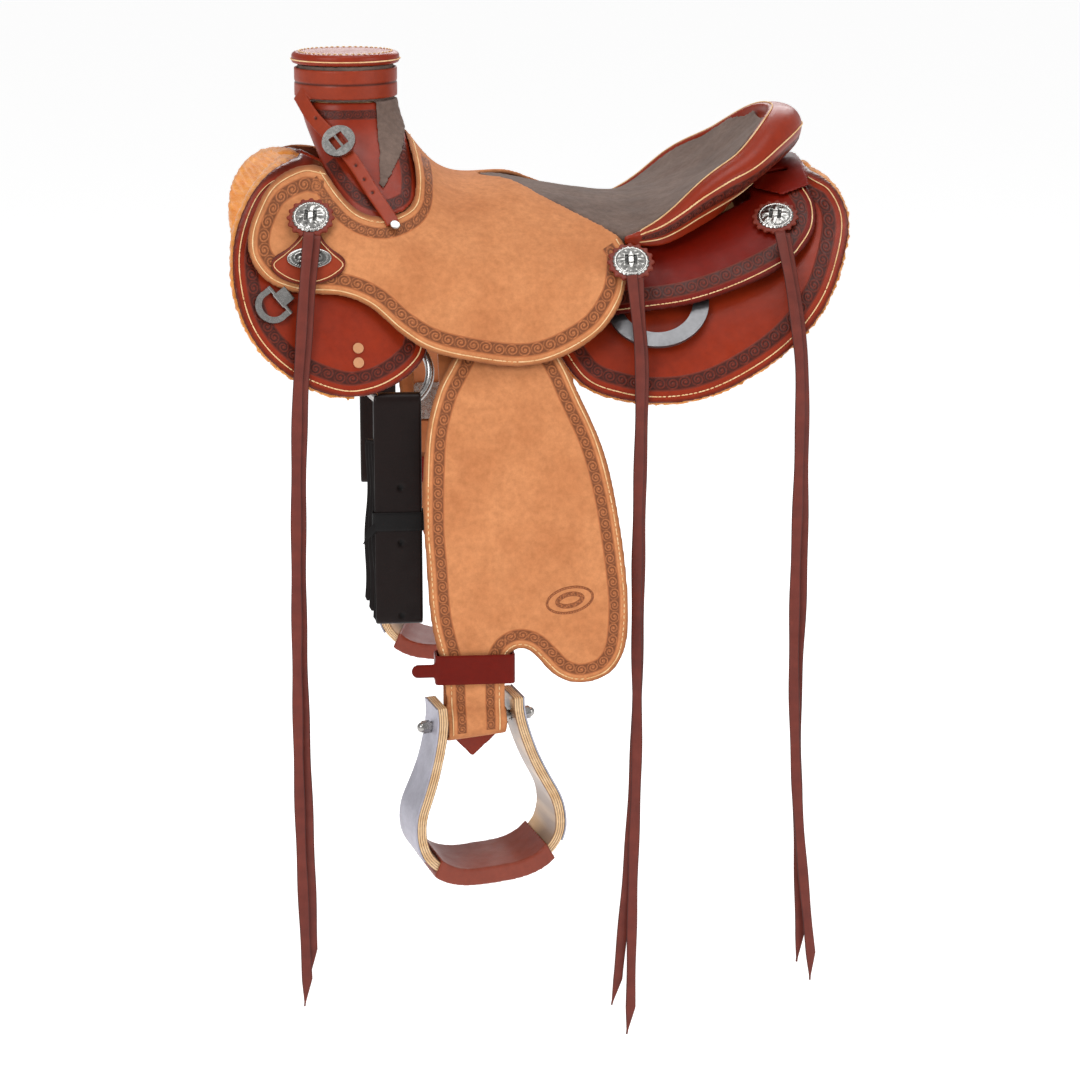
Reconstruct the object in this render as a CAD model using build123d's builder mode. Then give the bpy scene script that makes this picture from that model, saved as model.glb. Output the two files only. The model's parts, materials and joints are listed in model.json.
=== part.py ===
from build123d import *
import math
import os

# Western saddle. Millimetres, +Z up, the horn end towards -X, the near (left) side towards -Y.
# The origin is where the middle of the seat would touch the top of the horse's back.

# ---- driving dimensions -------------------------------------------------------------------
BACK_HALF_WIDTH = 247.0      # half width of the horse-side profile at its widest
BACK_RISE = 300.0            # from the widest line up to the crest of the profile
CREST_LOW = 48.0             # height of the skirt's crest at its lowest, under the seat
CREST_LOW_X = 30.0           # where along the saddle that is
FRONT_RISE = 93.0            # how much the crest rises towards the front tips
REAR_RISE = 66.0             # and towards the rear tips
FRONT_LENGTH = 330.0
REAR_LENGTH = 280.0
REACH = 340.0                # longer than anything that an outline has to cut

SKIRT_LEATHER = 5.0
FLEECE = 12.0
BAR_THICKNESS = 12.0
JOCKEY_LEATHER = 4.5
PAD_THICKNESS = 10.0
GROUND_SEAT = 3.0
FIT = 0.3                    # gap between pieces that lie on each other

HORN_X = -210.0
HORN_TOP = 226.0
CAP_LENGTH = 116.0
CAP_WIDTH = 106.0
CAP_THICKNESS = 12.0
NECK_R = 46.0                # wooden post
WRAP = 5.5                   # grey wrap round the post
STRAP_WIDTH = 15.0
STRAP_THICKNESS = 3.6

CONCHO_R = 19.0
ROSETTE_R = 22.5

RING_R = 36.0                # front rigging ring, to the middle of its wire
RING_WIRE = 4.5
RING_X = -170.0
RING_Z = -84.0

FENDER_LEATHER = 4.5
FENDER_H = 260.0             # how far the hanging fender is from the middle plane
STRAP_LEATHER = 4.0          # stirrup leather
OFF_SIDE_RAISE = 100.0       # the off-side leathers are buckled four holes shorter
STIRRUP_X = -92.0
BOLT_Z = -449.0
BOLT_R = 5.0
BOLT_SLEEVE_R = 9.0
STIRRUP_YAW = 11.0           # the front end of the bolt points outward
STIRRUP_ROLL = 3.5           # and hangs a little lower

STRING_WIDTH = 12.7
STRING_THICKNESS = 2.6

os.makedirs("parts", exist_ok=True)


def keep(name, part):
    """Label a finished piece and write its STEP file."""
    part.label = name
    export_step(part, f"parts/{name}.step")


def mirrored(part):
    """The same piece on the off side."""
    with BuildPart() as copy:
        mirror(part, about=Plane.XZ)
    return copy.part


def largest(part):
    """The biggest solid of a piece, without any slivers that trimming leaves."""
    with BuildPart() as one:
        add(sorted(part.solids(), key=lambda s: s.volume)[-1])
    return one.part


def over_volume(part, volume):
    with BuildPart() as kept:
        for solid in part.solids():
            if solid.volume > volume:
                add(solid)
    return kept.part


def raised(part, rise):
    return part.moved(Location((0, 0, rise)))


def raised_plane(plane, rise):
    return Plane(origin=plane.origin + Vector(0, 0, rise), x_dir=plane.x_dir, z_dir=plane.z_dir)


# ---- the profile that every leather layer follows ------------------------------------------
def ease(value, start, end):
    """0 before start, 1 after end, with a smooth step between."""
    s = min(1.0, max(0.0, (value - start) / (end - start)))
    return s * s * (3 - 2 * s)


def forward(x):
    return max(0.0, CREST_LOW_X - x) / FRONT_LENGTH


def rearward(x):
    return max(0.0, x - CREST_LOW_X) / REAR_LENGTH


def crest(x):
    return CREST_LOW + FRONT_RISE * forward(x) ** 2 + REAR_RISE * rearward(x) ** 2


def profile_point(x, angle, lift):
    """Distance from the middle plane and height, for an angle up from the widest line."""
    a = math.radians(angle)
    h = (BACK_HALF_WIDTH + lift) * math.cos(a)
    z = crest(x) - BACK_RISE + (BACK_RISE + lift) * math.sin(a)
    return h, z


def half_width(x, z, lift):
    """Distance from the middle plane of the layer at this lift, at a height."""
    s = (z - crest(x) + BACK_RISE) / (BACK_RISE + lift)
    return (BACK_HALF_WIDTH + lift) * math.sqrt(max(0.0, 1 - s * s))


def angle_at(x, z, lift):
    return math.degrees(math.asin(min(1.0, (z - crest(x) + BACK_RISE) / (BACK_RISE + lift))))


def near_plane(x):
    """Across the saddle at x; local x is the distance to the near side, local y is height."""
    return Plane(origin=(x, 0, 0), x_dir=(0, -1, 0), z_dir=(-1, 0, 0))


def lift_at(lift, x, z):
    """The lift where a layer passes a height, found by a few rounds of guessing."""
    value = 10.0
    for _ in range(12):
        value = lift(x, angle_at(x, z, value))
    return value


def layer_width(x, z, lift):
    return half_width(x, z, lift_at(lift, x, z))


def surface_plane(x, z, lift):
    """Tangent to the near side of a layer; local z points outward, local x towards the rear."""
    along = (layer_width(x + 4, z, lift) - layer_width(x - 4, z, lift)) / 8
    up = (layer_width(x, z + 4, lift) - layer_width(x, z - 4, lift)) / 8
    out = Vector(-along, -1, -up).normalized()
    return Plane(origin=(x, -layer_width(x, z, lift), z), x_dir=(1, -along, 0), z_dir=out)


ALL_STATIONS = (-352, -300, -255, -215, -180, -150, -120, -60, 0, 50, 100, 150, 200, 250, 330)


SEAT_STATIONS = ALL_STATIONS[:11]
REAR_STATIONS = ALL_STATIONS[7:]


def shell(inner, outer, low=10.0, high=90.0, stations=ALL_STATIONS):
    """A near-side layer between two lifts, each a function of x and the angle."""
    steps = 11
    angles = [low + (high - low) * i / (steps - 1) for i in range(steps)]
    with BuildPart() as layer:
        for x in stations:
            under = [profile_point(x, a, inner(x, a)) for a in angles]
            over = [profile_point(x, a, outer(x, a)) for a in reversed(angles)]
            with BuildSketch(near_plane(x)):
                with BuildLine():
                    Spline(*under)
                    Line(under[-1], over[0])
                    Spline(*over)
                    Line(over[-1], under[0])
                make_face()
        loft()
    return layer.part


def level(lift):
    return lambda x, a: lift


def back_solid(lift, stations=ALL_STATIONS):
    """Everything inside one lift, on both sides, to cut other pieces with."""
    with BuildPart() as body:
        for x in stations:
            over = [profile_point(x, a, lift) for a in range(0, 181, 20)]
            with BuildSketch(near_plane(x)):
                with BuildLine():
                    Spline(*over)
                    Line(over[-1], over[0])
                make_face()
        loft()
    return body.part


def seat_lift(x, a):
    """Underside of the tan seat leather: over the bars, the fenders and the front skirts."""
    over_bar = 36.5 - 18 * forward(x) ** 2 - 16 * rearward(x) ** 2
    front = ease(x, -290, -215)
    top = over_bar * front + 4.5 * (1 - front)
    fork_ear = 33 * ease(-x, 110, 152) * (1 - ease(-x, 170, 225)) * ease(a, 58, 80)
    side = 1.0 + 19 * ease(x, -205, -130)
    return side + (top - side) * ease(a, 34, 52) + fork_ear


def rear_lift(x, a):
    """Underside of the rear jockeys: over the bars and the rear dee, down to the rear skirts."""
    return 3.0 + 9.6 * (1 - ease(x, 200, 300))


def thicker(lift, thickness):
    return lambda x, a: lift(x, a) + thickness


def outline(points, close_with=()):
    """A closed outline in X and Z: a spline through points, then straight runs back."""
    with BuildSketch(Plane.XZ) as face:
        with BuildLine():
            Spline(*points)
            Polyline(points[-1], *close_with, points[0])
        make_face()
    return face.sketch


def grown(edge, straight, distance):
    """The two point lists of an outline, moved outward."""
    ring = [*edge, *straight]
    moved = []
    for i, (x, z) in enumerate(ring):
        x0, z0 = ring[i - 1]
        x1, z1 = ring[(i + 1) % len(ring)]
        run = math.hypot(x1 - x0, z1 - z0)
        moved.append((x + distance * (z1 - z0) / run, z - distance * (x1 - x0) / run))
    return moved[:len(edge)], moved[len(edge):]


def cut_to(layer, face):
    """The part of a near-side layer that lies behind an outline."""
    with BuildPart() as piece:
        add(layer)
        extrude(face, amount=REACH, both=True, mode=Mode.INTERSECT)
    return piece.part


# ---- skirts and fleece -----------------------------------------------------------------------
skirt_edge = [
    (-262, 116), (-303, 104), (-325, 76), (-336, 33), (-329, -18), (-309, -56), (-275, -86),
    (-229, -105), (-195, -104), (-165, -92), (-143, -74), (-135, -56), (-131, -34), (-95, -24),
    (-45, -26), (-12, -52), (22, -99), (62, -116), (108, -121), (156, -114), (205, -92), (248, -62),
    (283, -22), (305, 24), (314, 60), (306, 87), (288, 98),
]
skirt_top = ((288, 140), (-262, 140))
skirt_face = outline(skirt_edge, skirt_top)
skirt_left = cut_to(shell(level(-SKIRT_LEATHER), level(0), high=87), skirt_face)
keep("skirt_left", skirt_left)
keep("skirt_right", mirrored(skirt_left))

FLEECE_PROUD = 3.0
fleece_layer = shell(level(-SKIRT_LEATHER - FLEECE), level(-SKIRT_LEATHER - 0.1), high=86)
with BuildPart() as fleece_left:
    add(cut_to(fleece_layer, outline(*grown(skirt_edge, skirt_top, FLEECE_PROUD))))
    with BuildSketch(Plane.XZ):
        with Locations((RING_X, RING_Z)):
            Circle(RING_R + 3 * RING_WIRE)
        with Locations((RING_X, -20)):
            Rectangle(58, 70)
    extrude(amount=REACH, mode=Mode.SUBTRACT)
keep("fleece_left", fleece_left.part)
keep("fleece_right", mirrored(fleece_left.part))

# ---- tree ------------------------------------------------------------------------------------
bar_edge = [(-222, 60), (-215, 25), (-150, 0), (-60, -12), (25, -10), (75, 0), (140, 8), (188, 30),
            (200, 55)]
bar_face = outline(bar_edge, ((200, 120), (-222, 130)))
bar_low, bar_high = 42, 72
bar_layer = shell(level(FIT), level(BAR_THICKNESS), low=bar_low, high=bar_high)
tree_bar_left = cut_to(bar_layer, bar_face)
with BuildPart() as tree_bars:
    add(tree_bar_left)
    mirror(tree_bar_left, about=Plane.XZ)
keep("tree_bars", tree_bars.part)

on_bars = back_solid(BAR_THICKNESS + FIT)

# heights of the fork's sections, with middle, half length, half width and corner
fork_sections = (
    (176, -208, 50, 50, 48), (150, -203, 51, 60, 42), (120, -192, 50, 86, 36),
    (95, -186, 48, 116, 30), (70, -182, 46, 142, 26), (45, -180, 44, 160, 22),
)


def fork_body(grow):
    with BuildPart() as body:
        for z, x, length, width, corner in fork_sections:
            with BuildSketch(Plane.XY.offset(z)):
                with Locations((x, 0)):
                    RectangleRounded(2 * (length + grow), 2 * (width + grow), corner + grow)
        loft()
    return body.part


seat_edge = [
    (-237, 112), (-262, 115), (-295, 101), (-314, 74), (-320, 50), (-315, 29), (-297, 9),
    (-267, -2), (-226, -6), (-196, -18), (-167, -42), (-136, -60), (-95, -71), (-43, -78),
    (-2, -71), (41, -48), (66, -17), (74, 8), (76, 30), (71, 42),
]
seat_top = ((71, 170), (-237, 170))
fork_notch = [(-238, 112), (-221, 90), (-202, 74), (-176, 68), (-149, 77), (-142, 96), (-143, 120),
              (-150, 152)]
notch_top = ((-150, 180), (-238, 180))

# the seat's opening for the pad, seen from above; its rear part is the rim of the cantle
pad_front = [(-68, 0), (-46, -30), (-7, -73), (18, -93), (42, -118), (62, -137), (74, -147)]
seat_layer = shell(seat_lift, thicker(seat_lift, JOCKEY_LEATHER), stations=SEAT_STATIONS)
seat_zone = shell(thicker(seat_lift, -FIT), thicker(seat_lift, 60), stations=SEAT_STATIONS)


def seat_leather(layer, gap):
    """A near-side layer cut to the seat leather's outline, with the notch for the fork."""
    with BuildPart() as piece:
        add(cut_to(layer, outline(*grown(seat_edge, seat_top, gap))))
        notch = outline(*grown(fork_notch, notch_top, -gap))
        extrude(notch, amount=REACH, both=True, mode=Mode.SUBTRACT)
    return piece.part


fork_clear = seat_leather(seat_zone, FIT)
with BuildPart() as tree_fork:
    add(fork_body(-4 - FIT))
    with BuildSketch(Plane.XY.offset(fork_sections[0][0] - 6)):
        with Locations((HORN_X, 0)):
            Circle(NECK_R)
    extrude(until=None, amount=HORN_TOP - CAP_THICKNESS - fork_sections[0][0] + 6 - FIT)
    add(on_bars, mode=Mode.SUBTRACT)
    add(fork_clear, mode=Mode.SUBTRACT)
    mirror(fork_clear, about=Plane.XZ, mode=Mode.SUBTRACT)
keep("tree_fork", tree_fork.part)

with BuildPart() as fork_cover:
    add(fork_body(0))
    add(fork_body(-4), mode=Mode.SUBTRACT)
    with BuildSketch(Plane.XY.offset(fork_sections[0][0] - 6)):
        with Locations((HORN_X, 0)):
            Circle(NECK_R + FIT)
    extrude(amount=10, mode=Mode.SUBTRACT)
    add(on_bars, mode=Mode.SUBTRACT)
    add(fork_clear, mode=Mode.SUBTRACT)
    mirror(fork_clear, about=Plane.XZ, mode=Mode.SUBTRACT)
keep("fork_cover", fork_cover.part)

# ---- seat leather ----------------------------------------------------------------------------
seat_half = seat_leather(seat_layer, 0)
with BuildPart() as seat_jockey:
    add(seat_half)
    mirror(seat_half, about=Plane.XZ)
    with BuildSketch(Plane.XY):
        with BuildLine():
            Spline(*pad_front, tangents=((0, -1), (0.9, -0.4)))
            Polyline(pad_front[-1], (140, -147), (140, 0), pad_front[0])
        make_face()
        mirror(about=Plane.XZ)
    extrude(amount=REACH, mode=Mode.SUBTRACT)
keep("seat_jockey", seat_jockey.part)

# ---- seat pad, ground seat and cantle --------------------------------------------------------
# rim of the cantle, from the middle round to the front: x, distance from the middle, height,
# direction that it faces, overhang, depth and the lean of its back
rim = (
    (248, 0, 163, 0, 38, 87, -24), (241, 38, 160, 19, 36, 84, -22), (222, 75, 145, 34, 32, 74, -18),
    (196, 106, 123, 47, 28, 60, -10), (174, 121, 110, 60, 25, 54, -2), (151, 132, 94, 68, 22, 46, 4),
    (131, 138, 76, 75, 18, 37, 6), (112, 142, 61, 80, 14, 28, 6), (92, 145, 50, 83, 9, 17, 4),
    (74, 147, 44, 85, 4, 10, 2),
)
# the seat at stations along it: x, half width, height at the middle and at the edge
seat_stations = (
    (-66, 8, 94, 94), (-46, 30, 89, 90), (-28, 52, 85, 84), (-7, 73, 81, 77), (18, 93, 77, 68),
    (42, 118, 74, 56), (62, 137, 71, 48), (74, 146, 70, 45), (92, 145, 69, 50), (112, 142, 71, 61),
    (131, 138, 75, 76), (151, 132, 82, 94), (174, 121, 94, 110), (196, 106, 110, 123),
    (222, 75, 134, 145), (241, 38, 155, 160),
)


def seat_slab(top, bottom, stations, narrower=0.0):
    """A slab under the seat's surface, between two depths."""
    fractions = (-1, -0.75, -0.4, 0, 0.4, 0.75, 1)
    with BuildPart() as slab:
        for x, wide, middle, edge in stations:
            w = max(4.0, wide - narrower)

            def surface(f, depth):
                share = (f * w / wide) ** 2
                return (f * w, middle + (edge - middle) * share - depth)

            over = [surface(f, top) for f in fractions]
            under = [surface(f, bottom) for f in reversed(fractions)]
            with BuildSketch(near_plane(x)):
                with BuildLine():
                    Spline(*over)
                    Line(over[-1], under[0])
                    Spline(*under)
                    Line(under[-1], over[0])
                make_face()
        loft()
    return slab.part


with BuildPart() as seat_pad:
    add(seat_slab(0, PAD_THICKNESS, seat_stations, narrower=2.2))
keep("seat_pad", seat_pad.part)

ground_depth = PAD_THICKNESS + 3.0
with BuildPart() as ground_seat:
    add(seat_slab(ground_depth, ground_depth + GROUND_SEAT, seat_stations[1:12], narrower=18))
    add(on_bars, mode=Mode.SUBTRACT)
keep("ground_seat", ground_seat.part)


def rim_plane(x, wide, z, facing, side):
    a = math.radians(facing)
    outward = Vector(math.cos(a), side * math.sin(a), 0)
    return Plane(origin=(x, side * wide, z), x_dir=outward, z_dir=outward.cross(Vector(0, 0, 1)))


def around_rim():
    """Every station of the rim, from the near side's front round to the off side's."""
    near = [(s, -1) for s in reversed(rim[1:])]
    off = [(s, 1) for s in rim[1:]]
    return near + [(rim[0], 1)] + off


with BuildPart() as cantle_roll:
    for (x, wide, z, facing, over, deep, lean), side in around_rim():
        crown = [
            (0.5, 0), (0.4 * over, 0.06 * over), (0.78 * over, -0.03 * deep), (over, -0.2 * deep),
            (0.88 * over, -0.4 * deep), (0.5 * (0.8 * over + lean), -0.7 * deep), (lean, -deep),
        ]
        under = min(PAD_THICKNESS + 1.5, 0.6 * deep)
        inner = [(lean - 3 - 0.2 * deep, -deep), (-0.1 * deep - 1, -under - 0.15 * deep), (0.5, -under)]
        with BuildSketch(rim_plane(x, wide, z, facing, side)):
            with BuildLine():
                Spline(*crown)
                Polyline(crown[-1], *inner, crown[0])
            make_face()
    loft()
    add(on_bars, mode=Mode.SUBTRACT)
    add(seat_pad.part, mode=Mode.SUBTRACT)
cantle_rough = cantle_roll.part

# ---- rear jockeys ----------------------------------------------------------------------------
rear_edge = [
    (50, -34), (87, -30), (139, -23), (192, -7), (246, 17), (264, 31), (279, 50), (283, 72),
    (275, 92),
]
rear_top = ((276, 140), (218, 140), (218, 74), (163, 50), (101, 30), (50, 18))
rear_face = outline(rear_edge, rear_top)
rear_layer = shell(rear_lift, thicker(rear_lift, JOCKEY_LEATHER), high=89.5,
                   stations=REAR_STATIONS)
rear_jockey_left = cut_to(rear_layer, rear_face)
keep("rear_jockey_left", rear_jockey_left)
keep("rear_jockey_right", mirrored(rear_jockey_left))

rear_clear = shell(level(-1), thicker(rear_lift, JOCKEY_LEATHER + FIT), high=89.5,
                   stations=REAR_STATIONS)
with BuildPart() as cantle_roll:
    add(cantle_rough)
    add(rear_clear, mode=Mode.SUBTRACT)
    mirror(rear_clear, about=Plane.XZ, mode=Mode.SUBTRACT)
    add(fork_clear, mode=Mode.SUBTRACT)
    mirror(fork_clear, about=Plane.XZ, mode=Mode.SUBTRACT)
keep("cantle_roll", largest(cantle_roll.part))

with BuildPart() as cantle_board:
    for (x, wide, z, facing, over, deep, lean), side in around_rim()[3:-3]:
        foot = -deep + 6
        with BuildSketch(rim_plane(x, wide, z, facing, side)):
            with BuildLine():
                Polyline((-0.14 * deep - 2, -0.25 * deep - PAD_THICKNESS), (lean - 4 - 0.2 * deep, foot),
                         (lean - 16 - 0.2 * deep, foot), (-0.2 * deep - 9, -0.45 * deep - PAD_THICKNESS),
                         close=True)
            make_face()
    loft(ruled=True)
    add(seat_slab(-40, PAD_THICKNESS + GROUND_SEAT + 1, seat_stations), mode=Mode.SUBTRACT)
    add(on_bars, mode=Mode.SUBTRACT)
keep("cantle_board", largest(cantle_board.part))

PLATE_X = 250.0
with BuildSketch(Plane.XZ) as plate_face:
    with BuildLine():
        Polyline((222, 84), (250, 79), (280, 88), (284, 140), (218, 140), close=True)
    make_face()
plate_lift = thicker(rear_lift, JOCKEY_LEATHER + FIT)
plate_layer = shell(plate_lift, thicker(plate_lift, 4.0), stations=REAR_STATIONS)
plate_half = cut_to(plate_layer, plate_face.sketch)
with BuildPart() as rear_jockey_plate:
    add(plate_half)
    mirror(plate_half, about=Plane.XZ)
    with BuildSketch(Plane.XY):
        with Locations((PLATE_X, -52), (PLATE_X, 52)):
            SlotOverall(26, 10)
    extrude(amount=REACH, mode=Mode.SUBTRACT)
    add(cantle_rough, mode=Mode.SUBTRACT)
keep("rear_jockey_plate", largest(rear_jockey_plate.part))

# ---- horn ------------------------------------------------------------------------------------
with BuildPart() as horn_cap:
    with BuildSketch(Plane.XY.offset(HORN_TOP - CAP_THICKNESS)):
        with Locations((HORN_X, 0)):
            Ellipse(CAP_LENGTH / 2, CAP_WIDTH / 2)
    extrude(amount=CAP_THICKNESS)
    fillet(horn_cap.faces().sort_by(Axis.Z)[-1].edges(), radius=4.5)
    fillet(horn_cap.faces().sort_by(Axis.Z)[0].edges(), radius=2.5)
keep("horn_cap", horn_cap.part)

WRAP_R = NECK_R + WRAP
fork_top = fork_sections[0][0]
with BuildPart() as fork_skin:
    add(fork_body(3.4))
    add(fork_body(FIT), mode=Mode.SUBTRACT)
with BuildPart() as wrap_tail:
    add(fork_skin.part)
    with BuildSketch(Plane.XZ):
        with BuildLine():
            Polyline((-180, 176), (-150, 176), (-147, 150), (-153, 127), (-176, 93), (-181, 97),
                     (-179, 125), close=True)
        make_face()
    extrude(amount=REACH, mode=Mode.INTERSECT)
with BuildPart() as horn_wrap:
    with BuildSketch(Plane.XY.offset(fork_top + FIT)):
        with Locations((HORN_X, 0)):
            Circle(WRAP_R)
            Circle(NECK_R + FIT, mode=Mode.SUBTRACT)
    extrude(amount=HORN_TOP - CAP_THICKNESS - fork_top - 2 * FIT)
    add(wrap_tail.part)
keep("horn_wrap", horn_wrap.part)

strap_route = [
    (-262, -22, 183), (-252, -46, 168), (-238, -66, 152), (-221, -84, 136), (-208, -98, 121),
    (-196, -116, 103), (-182, -139, 82), (-169, -158, 61),
]


def strap_sections(route, width, thickness, outwards):
    """Lofted flat strap along a route, with an outward direction for each point."""
    with BuildPart() as strap:
        for i, point in enumerate(route):
            before = Vector(*route[max(0, i - 1)])
            after = Vector(*route[min(len(route) - 1, i + 1)])
            along = (after - before).normalized()
            out = Vector(*outwards[i])
            across = along.cross(out).normalized()
            with BuildSketch(Plane(origin=point, x_dir=across, z_dir=along)):
                Rectangle(width, thickness)
        loft()
    return strap.part


strap_out = [(-0.6, -0.8, 0.15), (-0.5, -0.8, 0.3), (-0.4, -0.8, 0.45), (-0.25, -0.8, 0.55),
             (-0.15, -0.75, 0.6), (-0.1, -0.7, 0.65), (-0.05, -0.65, 0.7), (0, -0.6, 0.72)]
seat_cover = thicker(seat_lift, JOCKEY_LEATHER + FIT)
under_strap = seat_leather(shell(level(0), seat_cover, stations=SEAT_STATIONS), 0)
with BuildPart() as horn_strap:
    for low in (fork_top + 3, fork_top + 19):
        with BuildSketch(Plane.XY.offset(low)):
            with Locations((HORN_X, 0)):
                Circle(WRAP_R + FIT + STRAP_THICKNESS)
                Circle(WRAP_R + FIT, mode=Mode.SUBTRACT)
        extrude(amount=STRAP_WIDTH)
    add(strap_sections(strap_route, STRAP_WIDTH, STRAP_THICKNESS, strap_out))
    add(fork_body(FIT), mode=Mode.SUBTRACT)
    with Locations((HORN_X, 0, fork_top)):
        Cylinder(WRAP_R + FIT, 50, mode=Mode.SUBTRACT)
    add(under_strap, mode=Mode.SUBTRACT)
keep("horn_strap", horn_strap.part)

buckle_plane = Plane(origin=(-221, -87.5, 139), x_dir=(0.5, -0.55, -0.62), z_dir=(-0.25, -0.8, 0.55))
with BuildPart() as horn_strap_buckle:
    with BuildSketch(buckle_plane):
        Circle(18)
        Rectangle(16, 16, mode=Mode.SUBTRACT)
    extrude(amount=3.5)
    with BuildSketch(buckle_plane.offset(1)):
        Rectangle(18, 2.6)
    extrude(amount=2)
keep("horn_strap_buckle", horn_strap_buckle.part)

screw_plane = surface_plane(-168, 57, thicker(seat_lift, JOCKEY_LEATHER))
with BuildPart() as horn_strap_screw:
    with BuildSketch(screw_plane.offset(5)):
        Circle(5.5)
    extrude(amount=2.5)
    fillet(horn_strap_screw.faces().sort_by(Axis(screw_plane.origin, screw_plane.z_dir))[-1].edges(), 1)
keep("horn_strap_screw", horn_strap_screw.part)

# ---- conchos, rosettes and the latigo keeper --------------------------------------------------
seat_outer = thicker(seat_lift, JOCKEY_LEATHER)
rear_outer = thicker(rear_lift, JOCKEY_LEATHER)

KEEPER_LEATHER = 3.5
concho_places = (
    (-254, 68, thicker(seat_outer, KEEPER_LEATHER + FIT)),
    (78, 18, seat_outer),
    (238, 56, rear_outer),
)
ROSETTE = 3.0
CONCHO_HEIGHT = 4.5


def concho_plane(place):
    x, z, lift = place
    return surface_plane(x, z, lift).offset(3.0)


def rosette(place):
    with BuildPart() as part:
        with BuildSketch(concho_plane(place)):
            Circle(ROSETTE_R)
            with PolarLocations(ROSETTE_R, 16):
                Circle(2.6)
        extrude(amount=ROSETTE)
    return part.part


def concho(place):
    plane = concho_plane(place).offset(ROSETTE + 0.1)
    with BuildPart() as part:
        with BuildSketch(plane):
            Circle(CONCHO_R)
        extrude(amount=CONCHO_HEIGHT, taper=28)
        with BuildSketch(plane):
            with Locations((-4.5, 0), (4.5, 0)):
                SlotOverall(14, 3.4, rotation=90)
        extrude(amount=2 * CONCHO_HEIGHT, mode=Mode.SUBTRACT)
    return part.part


for name, make in (("rosettes", rosette), ("conchos", concho)):
    with BuildPart() as group:
        for place in concho_places:
            one = make(place)
            add(one)
            mirror(one, about=Plane.XZ)
    keep(name, group.part)

keeper_edge = [(-262, 64), (-268, 52), (-283, 40), (-296, 31), (-294, 21), (-277, 10), (-258, 6),
               (-238, 10), (-222, 20), (-220, 29), (-232, 40), (-243, 52), (-246, 64)]
keeper_face = outline(keeper_edge, ((-246, 84), (-262, 84)))
keeper_lift = thicker(seat_lift, JOCKEY_LEATHER + FIT)
keeper_layer = shell(keeper_lift, thicker(keeper_lift, KEEPER_LEATHER), stations=SEAT_STATIONS)
latigo_keeper = cut_to(keeper_layer, keeper_face)
keep("latigo_keeper", latigo_keeper)

keeper_outer = thicker(keeper_lift, KEEPER_LEATHER)
with BuildSketch(Plane.XZ) as badge_face:
    with Locations((-257, 33)):
        Ellipse(23, 10)
badge_layer = shell(thicker(keeper_outer, FIT), thicker(keeper_outer, 2.3), stations=SEAT_STATIONS)
keep("keeper_plate", cut_to(badge_layer, badge_face.sketch))

# ---- rigging -----------------------------------------------------------------------------------
ring_plane = surface_plane(RING_X, RING_Z, level(-SKIRT_LEATHER - RING_WIRE - 2.8))


def ring_solid(minor):
    """The front ring, or a fatter one to cut with."""
    with BuildPart() as ring:
        with BuildSketch(Plane(origin=ring_plane.origin, x_dir=ring_plane.x_dir,
                               z_dir=-ring_plane.y_dir)):
            with Locations((RING_R, 0)):
                Circle(minor)
        revolve(axis=Axis(ring_plane.origin, ring_plane.z_dir))
    return ring.part


ring_left = ring_solid(RING_WIRE)
with BuildPart() as rigging_rings:
    add(ring_left)
    mirror(ring_left, about=Plane.XZ)
keep("rigging_rings", rigging_rings.part)

tab_strap = cut_to(shell(level(-SKIRT_LEATHER - 4.0), level(-SKIRT_LEATHER - 0.2)),
                   outline([(-195, -50), (-170, -53), (-145, -50)], ((-145, 12), (-195, 12))))
ring_top = Plane(origin=ring_plane.from_local_coords((0, RING_R, 0)), x_dir=ring_plane.x_dir,
                 z_dir=ring_plane.z_dir)
with BuildPart() as rigging_tab:
    with BuildSketch(ring_top.offset(-RING_WIRE - 2.5)):
        RectangleRounded(46, 22, 4)
    extrude(amount=2 * RING_WIRE + 4.5)
    add(shell(level(-SKIRT_LEATHER - 0.2), level(30)), mode=Mode.SUBTRACT)
    add(tab_strap)
    add(ring_solid(RING_WIRE + 0.2), mode=Mode.SUBTRACT)
with BuildPart() as rigging_tabs:
    add(rigging_tab.part)
    mirror(rigging_tab.part, about=Plane.XZ)
keep("rigging_tabs", rigging_tabs.part)

with BuildPart() as rivet_pair:
    for z in (-58, -72):
        with BuildSketch(surface_plane(-209, z, level(0.3))):
            Circle(5.5)
        extrude(amount=1.6)
with BuildPart() as skirt_rivets:
    add(rivet_pair.part)
    mirror(rivet_pair.part, about=Plane.XZ)
keep("skirt_rivets", skirt_rivets.part)

over_skirt = shell(level(-20), level(FIT))

# breast dee: hangs by its straight bar, which slants down to the rear
DEE_GAP = 3.2
dee_mid = surface_plane(-289, -8.5, level(0)).offset(DEE_GAP)
dee_plane = Plane(origin=dee_mid.origin, x_dir=(dee_mid.x_dir * 0.56 - dee_mid.y_dir * 0.83),
                  z_dir=dee_mid.z_dir)
with BuildPart() as breast_dee_left:
    with BuildSketch(dee_plane.offset(-1.5)):
        with BuildLine():
            Line((-18, 0), (-18, -8))
            ThreePointArc((-18, -8), (0, -29), (18, -8))
            Polyline((18, -8), (18, 0), (12, 0), (12, -8))
            ThreePointArc((12, -8), (0, -22), (-12, -8))
            Polyline((-12, -8), (-12, 0), (-18, 0))
        make_face()
    extrude(amount=3)
    with BuildSketch(Plane(origin=dee_plane.from_local_coords((-18, 0, 0)), x_dir=dee_plane.y_dir,
                           z_dir=dee_plane.x_dir)):
        Circle(2.2)
    extrude(amount=36)
keep("breast_dee_left", breast_dee_left.part)
keep("breast_dee_right", mirrored(breast_dee_left.part))

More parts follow.
